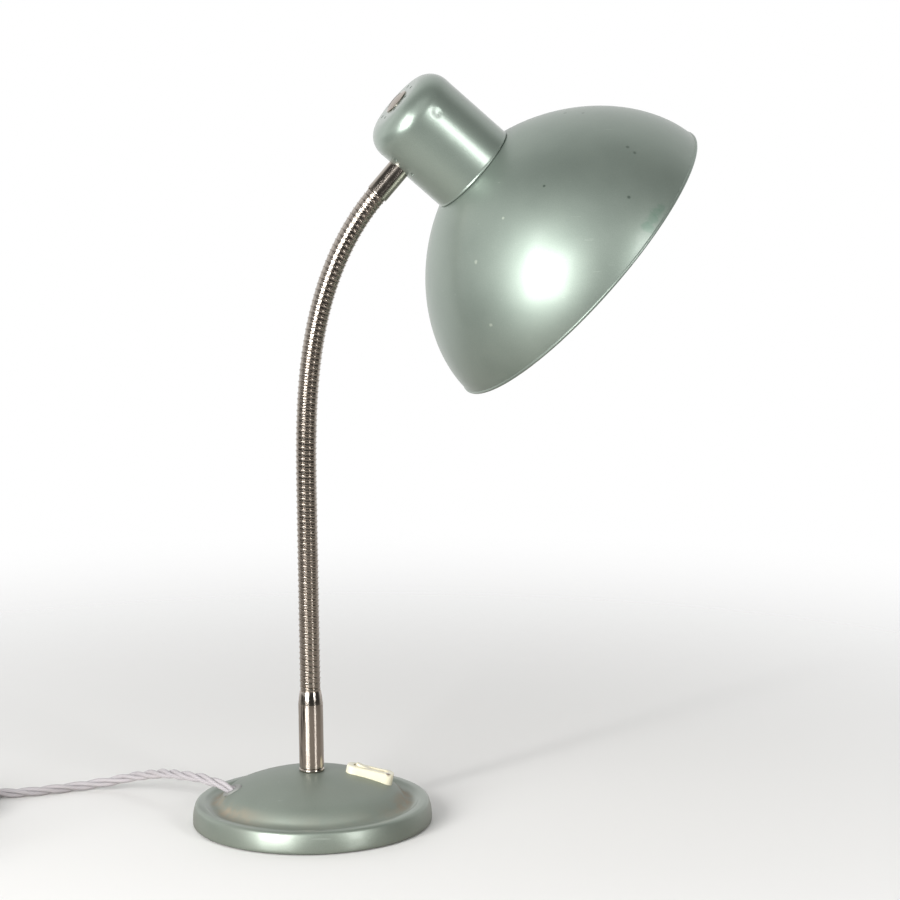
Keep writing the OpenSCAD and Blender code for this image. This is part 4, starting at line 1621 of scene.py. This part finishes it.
@dataclass
class Neck:
    """The bending hose: a wound strip, in lengths that turn on each other at the joints."""

    rib_pitch: float = 0.00354
    ribs: int = 5
    steps: int = 30
    # Section of one turn of the strip: share of the pitch, and radius in millimetres
    strip: tuple[Point2, ...] = (
        (0.00, 5.75), (0.02, 6.05), (0.05, 6.14), (0.25, 6.17), (0.50, 6.18), (0.68, 6.20),
        (0.735, 6.50), (0.78, 6.58), (0.84, 6.58), (0.885, 6.50), (0.92, 6.10), (0.94, 5.75),
        (1.00, 5.75),
    )
    lead_in: float = 0.0177
    ball_r: float = 0.0055

    def middle(self, k: int) -> Vector:
        """Middle of link k; 0 is where the hose leaves the lower ferrule."""
        return PLACES.joint(k + 1) - PLACES.pitch / 2 * PLACES.along(k)

    def bend(self, k: int, t: float) -> Vector:
        """A point between the middles of links k and k + 1, at the share t of the way.

        Args:
            k: The lower link.
            t: Share of the way to the next.

        Returns:
            The point.
        """
        a, b = PLACES.tilt(k), PLACES.tilt(k + 1)
        if b - a < 1e-6:
            return self.middle(k) + PLACES.pitch * t * PLACES.along(k)
        radius = PLACES.pitch / 2 / math.tan((b - a) / 2)
        c = a + (b - a) * t
        run = Vector((math.cos(a) - math.cos(c), 0.0, math.sin(c) - math.sin(a)))
        return self.middle(k) + radius * run

    def route(self) -> bpy.types.Object:
        """The hose's centreline: an arc across each joint, from middle to middle.

        Returns:
            The centreline's curve.
        """
        start = self.middle(0)
        points = [start - Vector((0, 0, self.lead_in)), start]
        for k in range(PLACES.links + 1):
            points += [self.bend(k, i / 8) for i in range(1, 9)]
        points.append(points[-1] + self.lead_in * PLACES.along(PLACES.links + 1))
        data = bpy.data.curves.new("neck_route", "CURVE")
        data.dimensions = "3D"
        data.twist_mode = "MINIMUM"
        spline = data.splines.new("POLY")
        spline.points.add(len(points) - 1)
        for point, at in zip(spline.points, points):
            point.co = (*at, 1.0)
        return added("neck_route", data)

    def length(self, index: int, route: bpy.types.Object) -> bpy.types.Object:
        """One length of hose, from one joint to the next.

        Args:
            index: Number of its link; 0 stands in the lower ferrule and the last in the upper one.
            route: The centreline.

        Returns:
            The length, with the ball that fills the next one's end, bent along the centreline.
        """
        first, last = index == 0, index == PLACES.links + 1
        turns = self.ribs - (1 if first or last else 0)
        middle = self.lead_in + PLACES.pitch * index
        joint = middle + PLACES.pitch / 2
        # The screw runs down from its section, and half a turn of it laps over each joint
        top = middle + self.rib_pitch if last else joint - self.rib_pitch / 2
        line = [(r * MM, top + share * self.rib_pitch) for share, r in self.strip]
        obj = draw_line(f"hose_{index:02d}", line)
        bpy.ops.mesh.select_all(action="SELECT")
        bpy.ops.mesh.screw(steps=self.steps, turns=turns, center=(0, 0, 0), axis=(0, 0, 1))
        close_up()
        if not last:
            rim = arc((0.0, joint), self.ball_r, -40, 90, 12)
            outline = [(0.0, rim[0][1]), *rim, (0.0, joint + self.ball_r)]
            obj = joined(obj.name, [obj, turned("ball", outline, self.steps, 60)])
        modify(obj, "CURVE", object=route, deform_axis="POS_Z")
        shade(obj, 60)
        return obj

    def build(self, dresser: Dresser) -> None:
        """Makes the hose's lengths, each on its own link.

        Args:
            dresser: Puts on the finishes.
        """
        route = self.route()
        links = [f"neck_link_{k:02d}" for k in range(1, PLACES.links + 1)]
        nodes = ["neck_lower_end"] + links + ["neck_upper_end"]
        bodies = ["base"] + [f"neck_{k:02d}" for k in range(1, PLACES.links + 1)] + ["head"]
        for k, (node, body) in enumerate(zip(nodes, bodies)):
            dresser.fit(self.length(k, route), body, Slot.HOSE, [node])
        data = route.data
        bpy.data.objects.remove(route)
        bpy.data.curves.remove(data)


@dataclass
class Head:
    """The spun shade and the cap over the lampholder."""

    shade_wall: float = 0.0008
    rim_roll: float = 0.0011
    crown_r: float = 0.025
    fitter_r: float = 0.02025
    cap_l: float = 0.0622
    corner: float = 0.0135
    cap_wall: float = 0.0009
    vent_r: float = 0.0011
    vent_ring: float = 0.013
    entry_ring: float = 0.0135
    vent_reach: float = 0.035
    vent_drop: Point2 = (0.0135, 0.0145)
    neck_hole: float = 0.0051
    nipple_hole: float = 0.0051
    roll_out: float = 0.0007
    first_turn: float = 1.8
    # The cap's rim: its round, how far in and down that sits, and the two heights over it
    lip_r: float = 0.0007
    lip_in: Point2 = (0.0004, 0.0001)
    lip_h: Point2 = (0.0009, 0.0016)
    # The cap's end: inner radius of its fall, radius of its flat, and the flat's rise
    end_fall: float = 0.004
    end_flat: Point2 = (0.0095, 0.0001)

    def shade_line(self) -> list[Point2]:
        """The shade's outside from its rim to the lampholder's hole.

        Returns:
            Points as radius and height.
        """
        p = PLACES
        full = math.degrees(math.acos((self.crown_r / p.shade_r) ** (1 / p.curve_power)))
        line, first = [], self.first_turn
        for i in range(57):
            u = math.radians(first + (full - first) * i / 56)
            radius = p.shade_r * math.cos(u) ** p.curve_power
            line.append((radius, p.shade_h * math.sin(u) ** p.curve_power))
        crown = line[-1][1]
        return line + [(self.fitter_r + 0.002, crown), (self.fitter_r, crown)]

    def shade(self) -> bpy.types.Object:
        """The spun shade: a wall of even thickness with a rolled rim.

        Returns:
            The piece.
        """
        outer = self.shade_line()
        skin = thickened(outer, self.shade_wall)[:-1]
        r = self.rim_roll
        centre = (outer[0][0] - r + self.roll_out, r)
        rim = arc(centre, r, 170, 400, 16)
        line = [*rim, *skin, rim[0]]
        obj = turned("lamp_shade", line, 160, 50)
        self.line_inside(obj, outer)
        return settle(obj, PLACES.head)

    def line_inside(self, obj: bpy.types.Object, outer: Sequence[Point2]) -> None:
        """Gives the faces that look inwards the second material.

        Args:
            obj: The shade.
            outer: The shade's outside line; not used.
        """
        obj.data.materials.append(None)
        obj.data.materials.append(None)
        for face in obj.data.polygons:
            radial = face.center.x * face.normal.x + face.center.y * face.normal.y
            size = math.hypot(face.center.x, face.center.y)
            inward = radial / max(size, 1e-6) < -0.02 or face.normal.z < -0.6
            high = face.center.z > 2.4 * self.rim_roll
            face.material_index = 1 if inward and high else 0

    def cap_line(self) -> list[Point2]:
        """The cap's outside from its rim to the nipple's hole.

        Returns:
            Points as radius and height.
        """
        p = PLACES
        low, top = p.cap_rim, p.cap_rim + self.cap_l
        corner_c = (p.cap_r - self.corner, top - self.corner)
        line = arc((p.cap_r - self.lip_in[0], low - self.lip_in[1]), self.lip_r, -80, 60, 9)
        line += [(p.cap_r, low + up) for up in self.lip_h]
        side = corner_c[1] - low - self.lip_h[1]
        line += [(p.cap_r, low + self.lip_h[1] + side * i / 16) for i in range(1, 16)]
        line += arc(corner_c, self.corner, 0, 90, 18)
        flat_r, rise = self.end_flat
        line += [(corner_c[0] - self.end_fall, top + rise), (flat_r, top + rise)]
        return line + [(self.nipple_hole, top)]

    def cap(self) -> bpy.types.Object:
        """The drawn cap with its vents and the neck's hole.

        Returns:
            The piece.
        """
        obj = turned("lamp_cap", thickened(self.cap_line(), self.cap_wall), 128, 40)
        level = PLACES.entry
        sideways = Matrix.Rotation(-math.pi / 2, 4, "Y")
        hole = Matrix.Translation((0, 0, level)) @ sideways
        cutters = [rod("hole", self.neck_hole, self.vent_reach, hole)]
        for up, across in ring(self.entry_ring, 6):
            place = Matrix.Translation((0, across, level + up)) @ sideways
            cutters.append(rod("vent", self.vent_r, self.vent_reach, place, 16))
        top = PLACES.cap_rim + self.cap_l
        drop, deep = self.vent_drop
        for x, y in ring(self.vent_ring, 8, 22.5):
            place = Matrix.Translation((x, y, top - drop))
            cutters.append(rod("vent", self.vent_r, deep, place, 16))
        carve(obj, joined("cap_cutters", cutters))
        shade(obj, 40)
        return settle(obj, PLACES.head)

    def build(self, dresser: Dresser) -> None:
        """Makes the shade and the cap.

        Args:
            dresser: Puts on the finishes.
        """
        outer = self.shade()
        smear, speck, pale = (0.09, 0.20, 0.14), (0.06, 0.09, 0.07), (0.50, 0.55, 0.47)
        marks = (
            Mark((0.1920, -0.0984, 0.3772), 0.0046, smear, 0.38),
            Mark((0.1944, -0.0963, 0.3817), 0.0048, smear, 0.34),
            Mark((0.1980, -0.0939, 0.3855), 0.0044, smear, 0.34),
            Mark((0.2010, -0.0920, 0.3880), 0.0036, smear, 0.30),
            Mark((0.1820, -0.0904, 0.3945), 0.0014, speck, 0.7),
            Mark((0.1878, -0.0645, 0.4221), 0.0013, speck, 0.6),
            Mark((0.1911, -0.0686, 0.4187), 0.0014, speck, 0.6),
            Mark((0.16135, -0.0130, 0.44014), 0.0013, speck, 0.6),
            Mark((0.17073, -0.02105, 0.44036), 0.0014, speck, 0.6),
            Mark((0.13541, -0.07007, 0.40056), 0.0011, speck, 0.8),
            Mark((0.0964, -0.0576, 0.3553), 0.0014, pale, 0.7),
            Mark((0.10318, -0.06773, 0.31847), 0.0016, pale, 0.8),
            Mark((0.11172, -0.06403, 0.38171), 0.0011, pale, 0.8),
        )
        paint = SagePaint(
            "shade_paint", roughness=0.46, metal=0.68, coat_roughness=0.20, marks=marks
        )
        dresser.fit(outer, "head", Slot.PAINT, ["shade"], paint)
        outer.data.materials[1] = dresser.material(InnerWhite())
        dents = (Dent((0.0789, -0.0287, 0.4426), 0.0045, 0.00040),)
        paint = SagePaint("cap_paint", roughness=0.32, coat=0.5, dents=dents)
        dresser.fit(self.cap(), "head", Slot.PAINT, ["cap"], paint)


@dataclass
class Bulb:
    """The glass of the bulb."""

    radius: float = 0.030
    turn: float = 35.0
    wall: float = 0.0008
    neck_r: float = 0.0139
    length: float = 0.104
    crown_r: float = 0.025
    holder_depth: float = 0.0286
    holder_gap: float = 0.002
    screw_l: float = 0.026
    throat: float = 0.007
    inner_r: float = 0.0126
    throat_slope: float = -0.06

    def line(self) -> list[Point2]:
        """The glass's outside from its front to inside the screw cap.

        Returns:
            Points as radius and height.
        """
        p = PLACES
        floor_z = p.shade_z(self.crown_r) + self.holder_depth
        tip = floor_z - self.holder_gap
        cap_z = tip - self.screw_l
        centre = tip - self.length + self.radius
        neck_z = cap_z - self.throat
        a = math.radians(self.turn)
        wide = (self.radius * math.cos(a), centre + self.radius * math.sin(a))
        rise = neck_z - wide[1]
        line = arc((0.0, centre), self.radius, -90, self.turn, 24)
        line[0] = (0.0, centre - self.radius)
        for i in range(0, 13):
            t = i / 12
            x = (
                (2 * t**3 - 3 * t**2 + 1) * wide[0]
                + (t**3 - 2 * t**2 + t) * -rise * math.tan(a)
                + (3 * t**2 - 2 * t**3) * self.neck_r
                + (t**3 - t**2) * self.throat_slope * rise
            )
            line.append((x, wide[1] + rise * t))
        return line + [(self.inner_r, cap_z - 0.001), (self.inner_r, cap_z + 0.006)]

    def build(self, dresser: Dresser) -> None:
        """Makes the glass."""
        glass = turned("bulb_globe", thickened(self.line(), self.wall), 72, 40)
        dresser.fit(settle(glass, PLACES.head), "head", Slot.GLASS, ["bulb_glass"])


@dataclass
class Lead:
    """The twisted three-core lead: over the rim, along the table, and into its coil."""

    diameter: float = 0.0063
    strands: int = 3
    sides: int = 10
    lay: float = 0.046
    inside: float = 0.009
    step: float = 0.0013
    # Millimetres, from the gland over the rim and along the table
    way: tuple[Colour, ...] = (
        (-60, 9, 26), (-68, 20, 26.5), (-78, 36, 24.5), (-87, 55, 21), (-96, 71, 16.5),
        (-107, 87, 11), (-120, 96, 6.5), (-139, 100, 3.5), (-158, 96.5, 3.2), (-178, 94, 3.2),
        (-198, 96, 3.2), (-222, 99.4, 3.2),
    )
    coil_at: Point2 = (-245.0, 61.0)
    # Track of each turn: radius and height over the table
    tracks: tuple[Point2, ...] = (
        (38.7, 3.2), (32.4, 3.2), (26.1, 3.2), (29.3, 8.7), (35.6, 8.7), (38.0, 14.2), (32.5, 14.2),
        (32.5, 14.2),
    )
    turns: float = 7.25
    tie_az: float = -40.0
    # The turns lift over the tie: by how many millimetres, and within how many degrees
    tie_lift: Point2 = (0.85, 40.0)
    tail: tuple[Colour, ...] = (
        (-277.5, 46, 14.1), (-277.5, 36, 13.2), (-277.5, 26, 11.4), (-277.5, 14, 9.4),
        (-277.5, 2, 8.9), (-277.5, -7, 9.5), (-277.5, -17, 10), (-277.5, -22, 10),
    )

    @property
    def strand_r(self) -> float:
        """Radius of one core."""
        return self.diameter / 2 / (1 + 2 / math.sqrt(3))

    def coil(self) -> list[Vector]:
        """The coil's turns, each a diameter from the next.

        Returns:
            Points in millimetres.
        """
        points = []
        count = round(self.turns * 30)
        for i in range(1, count + 1):
            tau = self.turns * i / count
            k = min(int(tau), len(self.tracks) - 2)
            share = tau - k

            def ease(low: float, high: float) -> float:
                """A smooth step over part of the turn."""
                t = min(1.0, max(0.0, (share - low) / (high - low)))
                return t * t * (3 - 2 * t)

            (r0, z0), (r1, z1) = self.tracks[k], self.tracks[k + 1]
            radius = r0 + (r1 - r0) * ease(0.5, 0.88)
            height = z0 + (z1 - z0) * ease(0.4, 0.72)
            a = math.radians(90) + 2 * math.pi * tau
            off = (math.degrees(a) - self.tie_az + 180) % 360 - 180
            height += self.tie_lift[0] * math.exp(-((off / self.tie_lift[1]) ** 2))
            x, y = self.coil_at
            points.append(Vector((x + radius * math.cos(a), y + radius * math.sin(a), height)))
        return points

    def centreline(self) -> list[Vector]:
        """The whole route in metres, at an even spacing.

        Returns:
            Points along the route.
        """
        gland = PLACES.gland
        start = [gland @ Vector((0, 0, -self.inside)), gland @ Vector((0, 0, 0.002))]
        free = start + [Vector(p) * MM for p in self.way]
        coil = [p * MM for p in self.coil()]
        end = [Vector(p) * MM for p in self.tail]
        line = slide(free, 10)[:-1] + slide([free[-1], *coil], 3)[:-1]
        line += slide([coil[-1], *end], 10)
        return even(line, self.step)

    def rope(self, line: Sequence[Vector]) -> bpy.types.Object:
        """Three cores twisted round the centreline, each a closed tube with a map along it.

        Args:
            line: The centreline.

        Returns:
            The rope.
        """
        ahead, behind = [*line[1:], line[-1]], [line[0], *line[:-1]]
        along = [(b - a).normalized() for a, b in zip(behind, ahead)]
        side = along[0].orthogonal().normalized()
        frames = []
        for i, t in enumerate(along):
            if i:
                side = (along[i - 1].rotation_difference(t) @ side).normalized()
                side = (side - side.dot(t) * t).normalized()
            frames.append((side.copy(), t.cross(side)))
        step = (line[1] - line[0]).length
        reach = self.diameter / 2 - self.strand_r
        points, faces, maps = [], [], []
        for strand in range(self.strands):
            first = len(points)
            for i, centre in enumerate(line):
                u, v = frames[i]
                a = 2 * math.pi * (i * step / self.lay + strand / self.strands)
                core = centre + reach * (math.cos(a) * u + math.sin(a) * v)
                for k in range(self.sides):
                    b = a + 2 * math.pi * k / self.sides
                    points.append(core + self.strand_r * (math.cos(b) * u + math.sin(b) * v))
            for i in range(len(line) - 1):
                for k in range(self.sides):
                    n = (k + 1) % self.sides
                    here, there = first + i * self.sides, first + (i + 1) * self.sides
                    faces.append((here + k, here + n, there + n, there + k))
                    maps.append(((k, i), (k + 1, i), (k + 1, i + 1), (k, i + 1)))
            end = first + (len(line) - 1) * self.sides
            faces.append(tuple(first + k for k in reversed(range(self.sides))))
            maps.append(tuple((k, 0) for k in reversed(range(self.sides))))
            faces.append(tuple(end + k for k in range(self.sides)))
            maps.append(tuple((k, len(line) - 1) for k in range(self.sides)))
        mesh = bpy.data.meshes.new("twisted_lead")
        mesh.from_pydata([tuple(p) for p in points], [], faces)
        layer = mesh.uv_layers.new(name=UV_MAP)
        flat = [c for row in maps for k, i in row for c in (k / self.sides, i * step)]
        layer.data.foreach_set("uv", flat)
        obj = added("twisted_lead", mesh)
        shade(obj, 60)
        return obj

    def build(self, dresser: Dresser, pieces: Sequence[bpy.types.Object]) -> None:
        """Args:
            dresser: Puts on its finish.
            pieces: The pieces on its far end, and its tie; not used.
        """
        line = self.centreline()
        total = sum((b - a).length for a, b in zip(line[:-1], line[1:]))
        rope = self.rope(line)
        dresser.fit(rope, "base", Slot.FLEX, ["cord", "cord_coil", "cord_tail"])
        log.info("lead is %.3f m long", total)
        tuple(PLACES.gland.translation)


@dataclass
class Plug:
    """The three-pin plug on its back, its ribbed strain relief, and the tie round the coil."""

    width: float = 0.050
    length: float = 0.052
    height: float = 0.022
    corner: float = 0.009
    edge: Colour = (-0.2775, -0.045, 0.0)
    relief_l: float = 0.030
    relief_z: float = 0.010
    thin_r: float = 0.00385
    thick_r: float = 0.00555
    ribs: int = 7
    # The parting groove: its height, its depth, and its level under the top
    groove: Colour = (0.0006, 0.0006, 0.006)
    well: Point2 = (0.0036, 0.002)

    def body(self) -> bpy.types.Object:
        """The moulded body with its parting groove and its screw.

        Returns:
            The piece.
        """
        x, y, _ = self.edge
        body = block("plug_case", (self.width, self.length, self.height), (0, 0, self.height / 2))
        round_uprights(body, self.corner, 10)
        softened(body, 0.0024, 5, 60)
        gap, deep, under = self.groove
        centre = (0, 0, self.height - under)
        groove = block("groove", (self.width + 0.01, self.length + 0.01, gap), centre)
        core = block("core", (self.width - 2 * deep, self.length - 2 * deep, 0.003), centre)
        round_uprights(core, self.corner - deep, 10)
        carve(groove, core)
        carve(body, groove)
        start = Matrix.Translation((0, 0, self.height - self.well[1]))
        carve(body, rod("screw_well", self.well[0], 0.01, start))
        shade(body, 40)
        return settle(body, Matrix.Translation((x, y - self.length / 2, 0)))

    def screw(self) -> bpy.types.Object:
        """The cover's screw, in its well.

        Returns:
            The piece.
        """
        top = self.height - 0.0006
        line = [(0.0, top - 0.0016), (0.0033, top - 0.0016), (0.0034, top - 0.0004)]
        head = turned("plug_screw", [*line, (0.0030, top), (0.0, top)], 32, 40)
        carve(head, block("slot", (0.008, 0.0008, 0.001), (0, 0, top)))
        shade(head, 40)
        return settle(head, Matrix.Translation((self.edge[0], self.edge[1] - self.length / 2, 0)))

    def relief(self) -> bpy.types.Object:
        """The tapered strain relief with its rings.

        Returns:
            The piece.
        """
        line = [(0.0, 0.0), (self.thin_r * 0.85, 0.0)]
        count = self.ribs * 8
        for i in range(count + 1):
            t = i / count
            radius = self.thin_r + (self.thick_r - self.thin_r) * t**1.5
            groove = 0.5 - 0.5 * math.cos(2 * math.pi * self.ribs * t)
            line.append((radius - 0.0006 * (1 - groove) ** 2, self.relief_l * (0.01 + 0.98 * t)))
        line += [(self.thick_r, self.relief_l), (0.0, self.relief_l)]
        obj = turned("plug_sleeve", line, 36, 60)
        at = Matrix.Translation((self.edge[0], self.edge[1] + self.relief_l, self.relief_z))
        return settle(obj, at @ Matrix.Rotation(math.pi / 2, 4, "X"))

    def build(self, dresser: Dresser) -> list[bpy.types.Object]:
        """Makes the plug's pieces.

        Args:
            dresser: Puts on the finishes.

        Returns:
            The pieces that lie on the lead's far end.
        """
        body = dresser.fit(self.body(), "base", Slot.PLUG, ["plug_body"])
        screw = dresser.fit(self.screw(), "base", Slot.BRASS)
        relief = dresser.fit(self.relief(), "base", Slot.PLUG, ["plug_relief"])
        nodes = frame["nodes"]
        return [body, screw, relief, nodes["plug_pins"], nodes["cord_tie"]]


# ---------------------------------------------------------------- studio


@dataclass
class Studio:
    """A plain pale floor, a white backdrop, soft lamps and the camera."""

    focal: float = 120.0
    base_pixel: Point2 = (312.8, 820.6)
    depth: float = 1.886
    pitch: float = 9.5
    roll: float = -0.6
    heading: float = 10.6
    floor_r: float = 4.0
    aim: Colour = (0.05, 0.0, 0.22)
    sensor: float = 36.0
    pixels: float = 900.0
    # Name, bearing from the camera's side, lowest and highest angle, half width, distance and
    # brightness
    lamps: tuple[tuple[str, float, float, float, float, float, float], ...] = (
        ("left_window", -33.0, -5.0, 27.0, 16.0, 1.9, 12.0),
        ("left_strip", -44.0, -2.0, 40.0, 2.0, 1.6, 16.0),
        ("right_window", 42.0, -4.0, 30.0, 7.0, 1.9, 10.0),
        ("left_fill", -85.0, -4.0, 45.0, 30.0, 2.2, 0.60),
        ("high_softbox", 0.0, 24.0, 66.0, 20.0, 2.2, 0.60),
    )
    pale: Colour = (0.88, 0.87, 0.85)
    room: Colour = (0.06, 0.059, 0.056)
    wall: Colour = (0.86, 0.87, 0.88)
    patch: Colour = (0.84, 0.83, 0.81)
    # What the floor gives back towards the lamp, darker than the camera sees it
    returned: Colour = (0.48, 0.44, 0.40)

    def floor(self) -> None:
        """A round pale floor that fades into the backdrop."""
        drop_selection()
        bpy.ops.mesh.primitive_circle_add(vertices=96, radius=self.floor_r, fill_type="NGON")
        floor = named("floor")
        r = Recipe("pale_floor")
        far = r.from_axis()[1].ramp(0.15, 0.95)
        seen = r.level("ShaderNodeLightPath", {}, {}, "Is Camera Ray")
        plain = r.mix(r.noise(3.0, 3.0) * 0.25, self.pale, self.patch)
        r.surface(
            base_color=r.mix(seen, self.returned, plain),
            roughness=0.20 + seen * 0.5,
            specular_ior_level=0.2,
        )
        clear = r.node("ShaderNodeBsdfTransparent", {}, {"Color": (1.0, 1.0, 1.0)})
        layers = {0: far, 1: r.shader.outputs[0], 2: clear.outputs[0]}
        blend = r.node("ShaderNodeMixShader", {}, layers)
        r.tree.links.new(blend.outputs[0], r.output.inputs["Surface"])
        floor.data.materials.append(r.material)

    def world(self) -> None:
        """A white backdrop behind the lamp and a dim room in front of it."""
        world = bpy.data.worlds.new("studio")
        bpy.context.scene.world = world
        world.use_nodes = True
        world.node_tree.nodes.clear()
        bench = Bench(world.node_tree)
        x, y = bench.split(bench.node("ShaderNodeTexCoord", {}, {}).outputs["Generated"], 2)
        heading = math.radians(self.heading)
        back = (x * math.sin(heading) + y * math.cos(heading)).ramp(0.0, 0.6)
        path = bench.node("ShaderNodeLightPath", {}, {})
        white = (1.0, 1.0, 1.0)
        rays = ("Is Glossy Ray", "Is Transmission Ray", "Is Camera Ray")
        glossy, transmitted, seen = (Level(bench, path.outputs[name]) for name in rays)
        wall = bench.mix((glossy + transmitted).clamp(), self.wall, white)
        room = bench.mix(back, self.room, wall)
        light = bench.node("ShaderNodeBackground", {}, {"Color": bench.mix(seen, room, white)})
        bench.node("ShaderNodeOutputWorld", {}, {"Surface": light.outputs[0]})

    def lamp(self, name: str, at: Colour, aim: Colour, size: Point2, power: float) -> None:
        """A rectangular soft lamp.

        Args:
            name: Its name.
            at: Where it stands.
            aim: The point that it faces.
            size: Its width and height.
            power: Its power in watts.
        """
        data = bpy.data.lights.new(name, "AREA")
        data.shape = "RECTANGLE"
        data.size, data.size_y = size
        data.energy = power
        obj = added(name, data)
        obj.location = at
        obj.rotation_euler = (Vector(aim) - Vector(at)).to_track_quat("-Z", "Y").to_euler()
        obj.visible_camera = False

    def camera(self) -> None:
        """The camera, on the base's middle as its pixel says."""
        pitch, roll = math.radians(self.pitch), math.radians(self.roll)
        ahead = Vector((0.0, math.cos(pitch), -math.sin(pitch)))
        over = Vector((0.0, math.sin(pitch), math.cos(pitch)))
        across = Vector((1.0, 0.0, 0.0))
        right = math.cos(roll) * across + math.sin(roll) * over
        up = -math.sin(roll) * across + math.cos(roll) * over
        focal = self.focal / self.sensor * self.pixels
        x, y = self.base_pixel
        middle = self.pixels / 2
        ray = ahead + (x - middle) / focal * right + (middle - y) / focal * up
        spun = Matrix.Rotation(math.radians(-self.heading), 3, "Z")
        place = Matrix((spun @ right, spun @ up, spun @ -ahead)).transposed().to_4x4()
        place.translation = spun @ (-self.depth * ray)
        data = bpy.data.cameras.new("camera")
        data.lens, data.sensor_width, data.sensor_fit = self.focal, self.sensor, "HORIZONTAL"
        data.clip_start, data.clip_end = 0.05, 50.0
        camera = added("camera", data)
        camera.matrix_world = place
        bpy.context.scene.camera = camera

    def build(self) -> None:
        """Sets the studio up."""
        self.floor()
        self.world()
        for name, azimuth, low, high, half, reach, level in self.lamps:
            a, b = math.radians(azimuth - self.heading), math.radians((low + high) / 2)
            along = Vector((math.sin(a) * math.cos(b), -math.cos(a) * math.cos(b), math.sin(b)))
            size = (
                2 * reach * math.tan(math.radians(half)),
                2 * reach * math.tan(math.radians((high - low) / 2)),
            )
            aim = Vector(self.aim)
            power = level * math.pi * size[0] * size[1]
            self.lamp(name, tuple(aim + reach * along), self.aim, size, power)
        self.camera()
        bpy.context.scene.view_settings.view_transform = "Standard"


def main() -> None:
    """Builds the lamp's sub-assemblies in order."""
    logging.basicConfig(level=logging.INFO, format="%(name)s: %(message)s")
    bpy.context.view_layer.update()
    Studio().build()
    dresser = Dresser()
    dresser.carried(frame["nodes"], frame["record"])
    ends = Plug().build(dresser)
    Lead().build(dresser, ends)
    for part in (Base(), Stem(), Switch(), Neck(), Head(), Bulb()):
        part.build(dresser)
        log.info("%s is done", type(part).__name__)


if __name__ == "__main__":
    main()
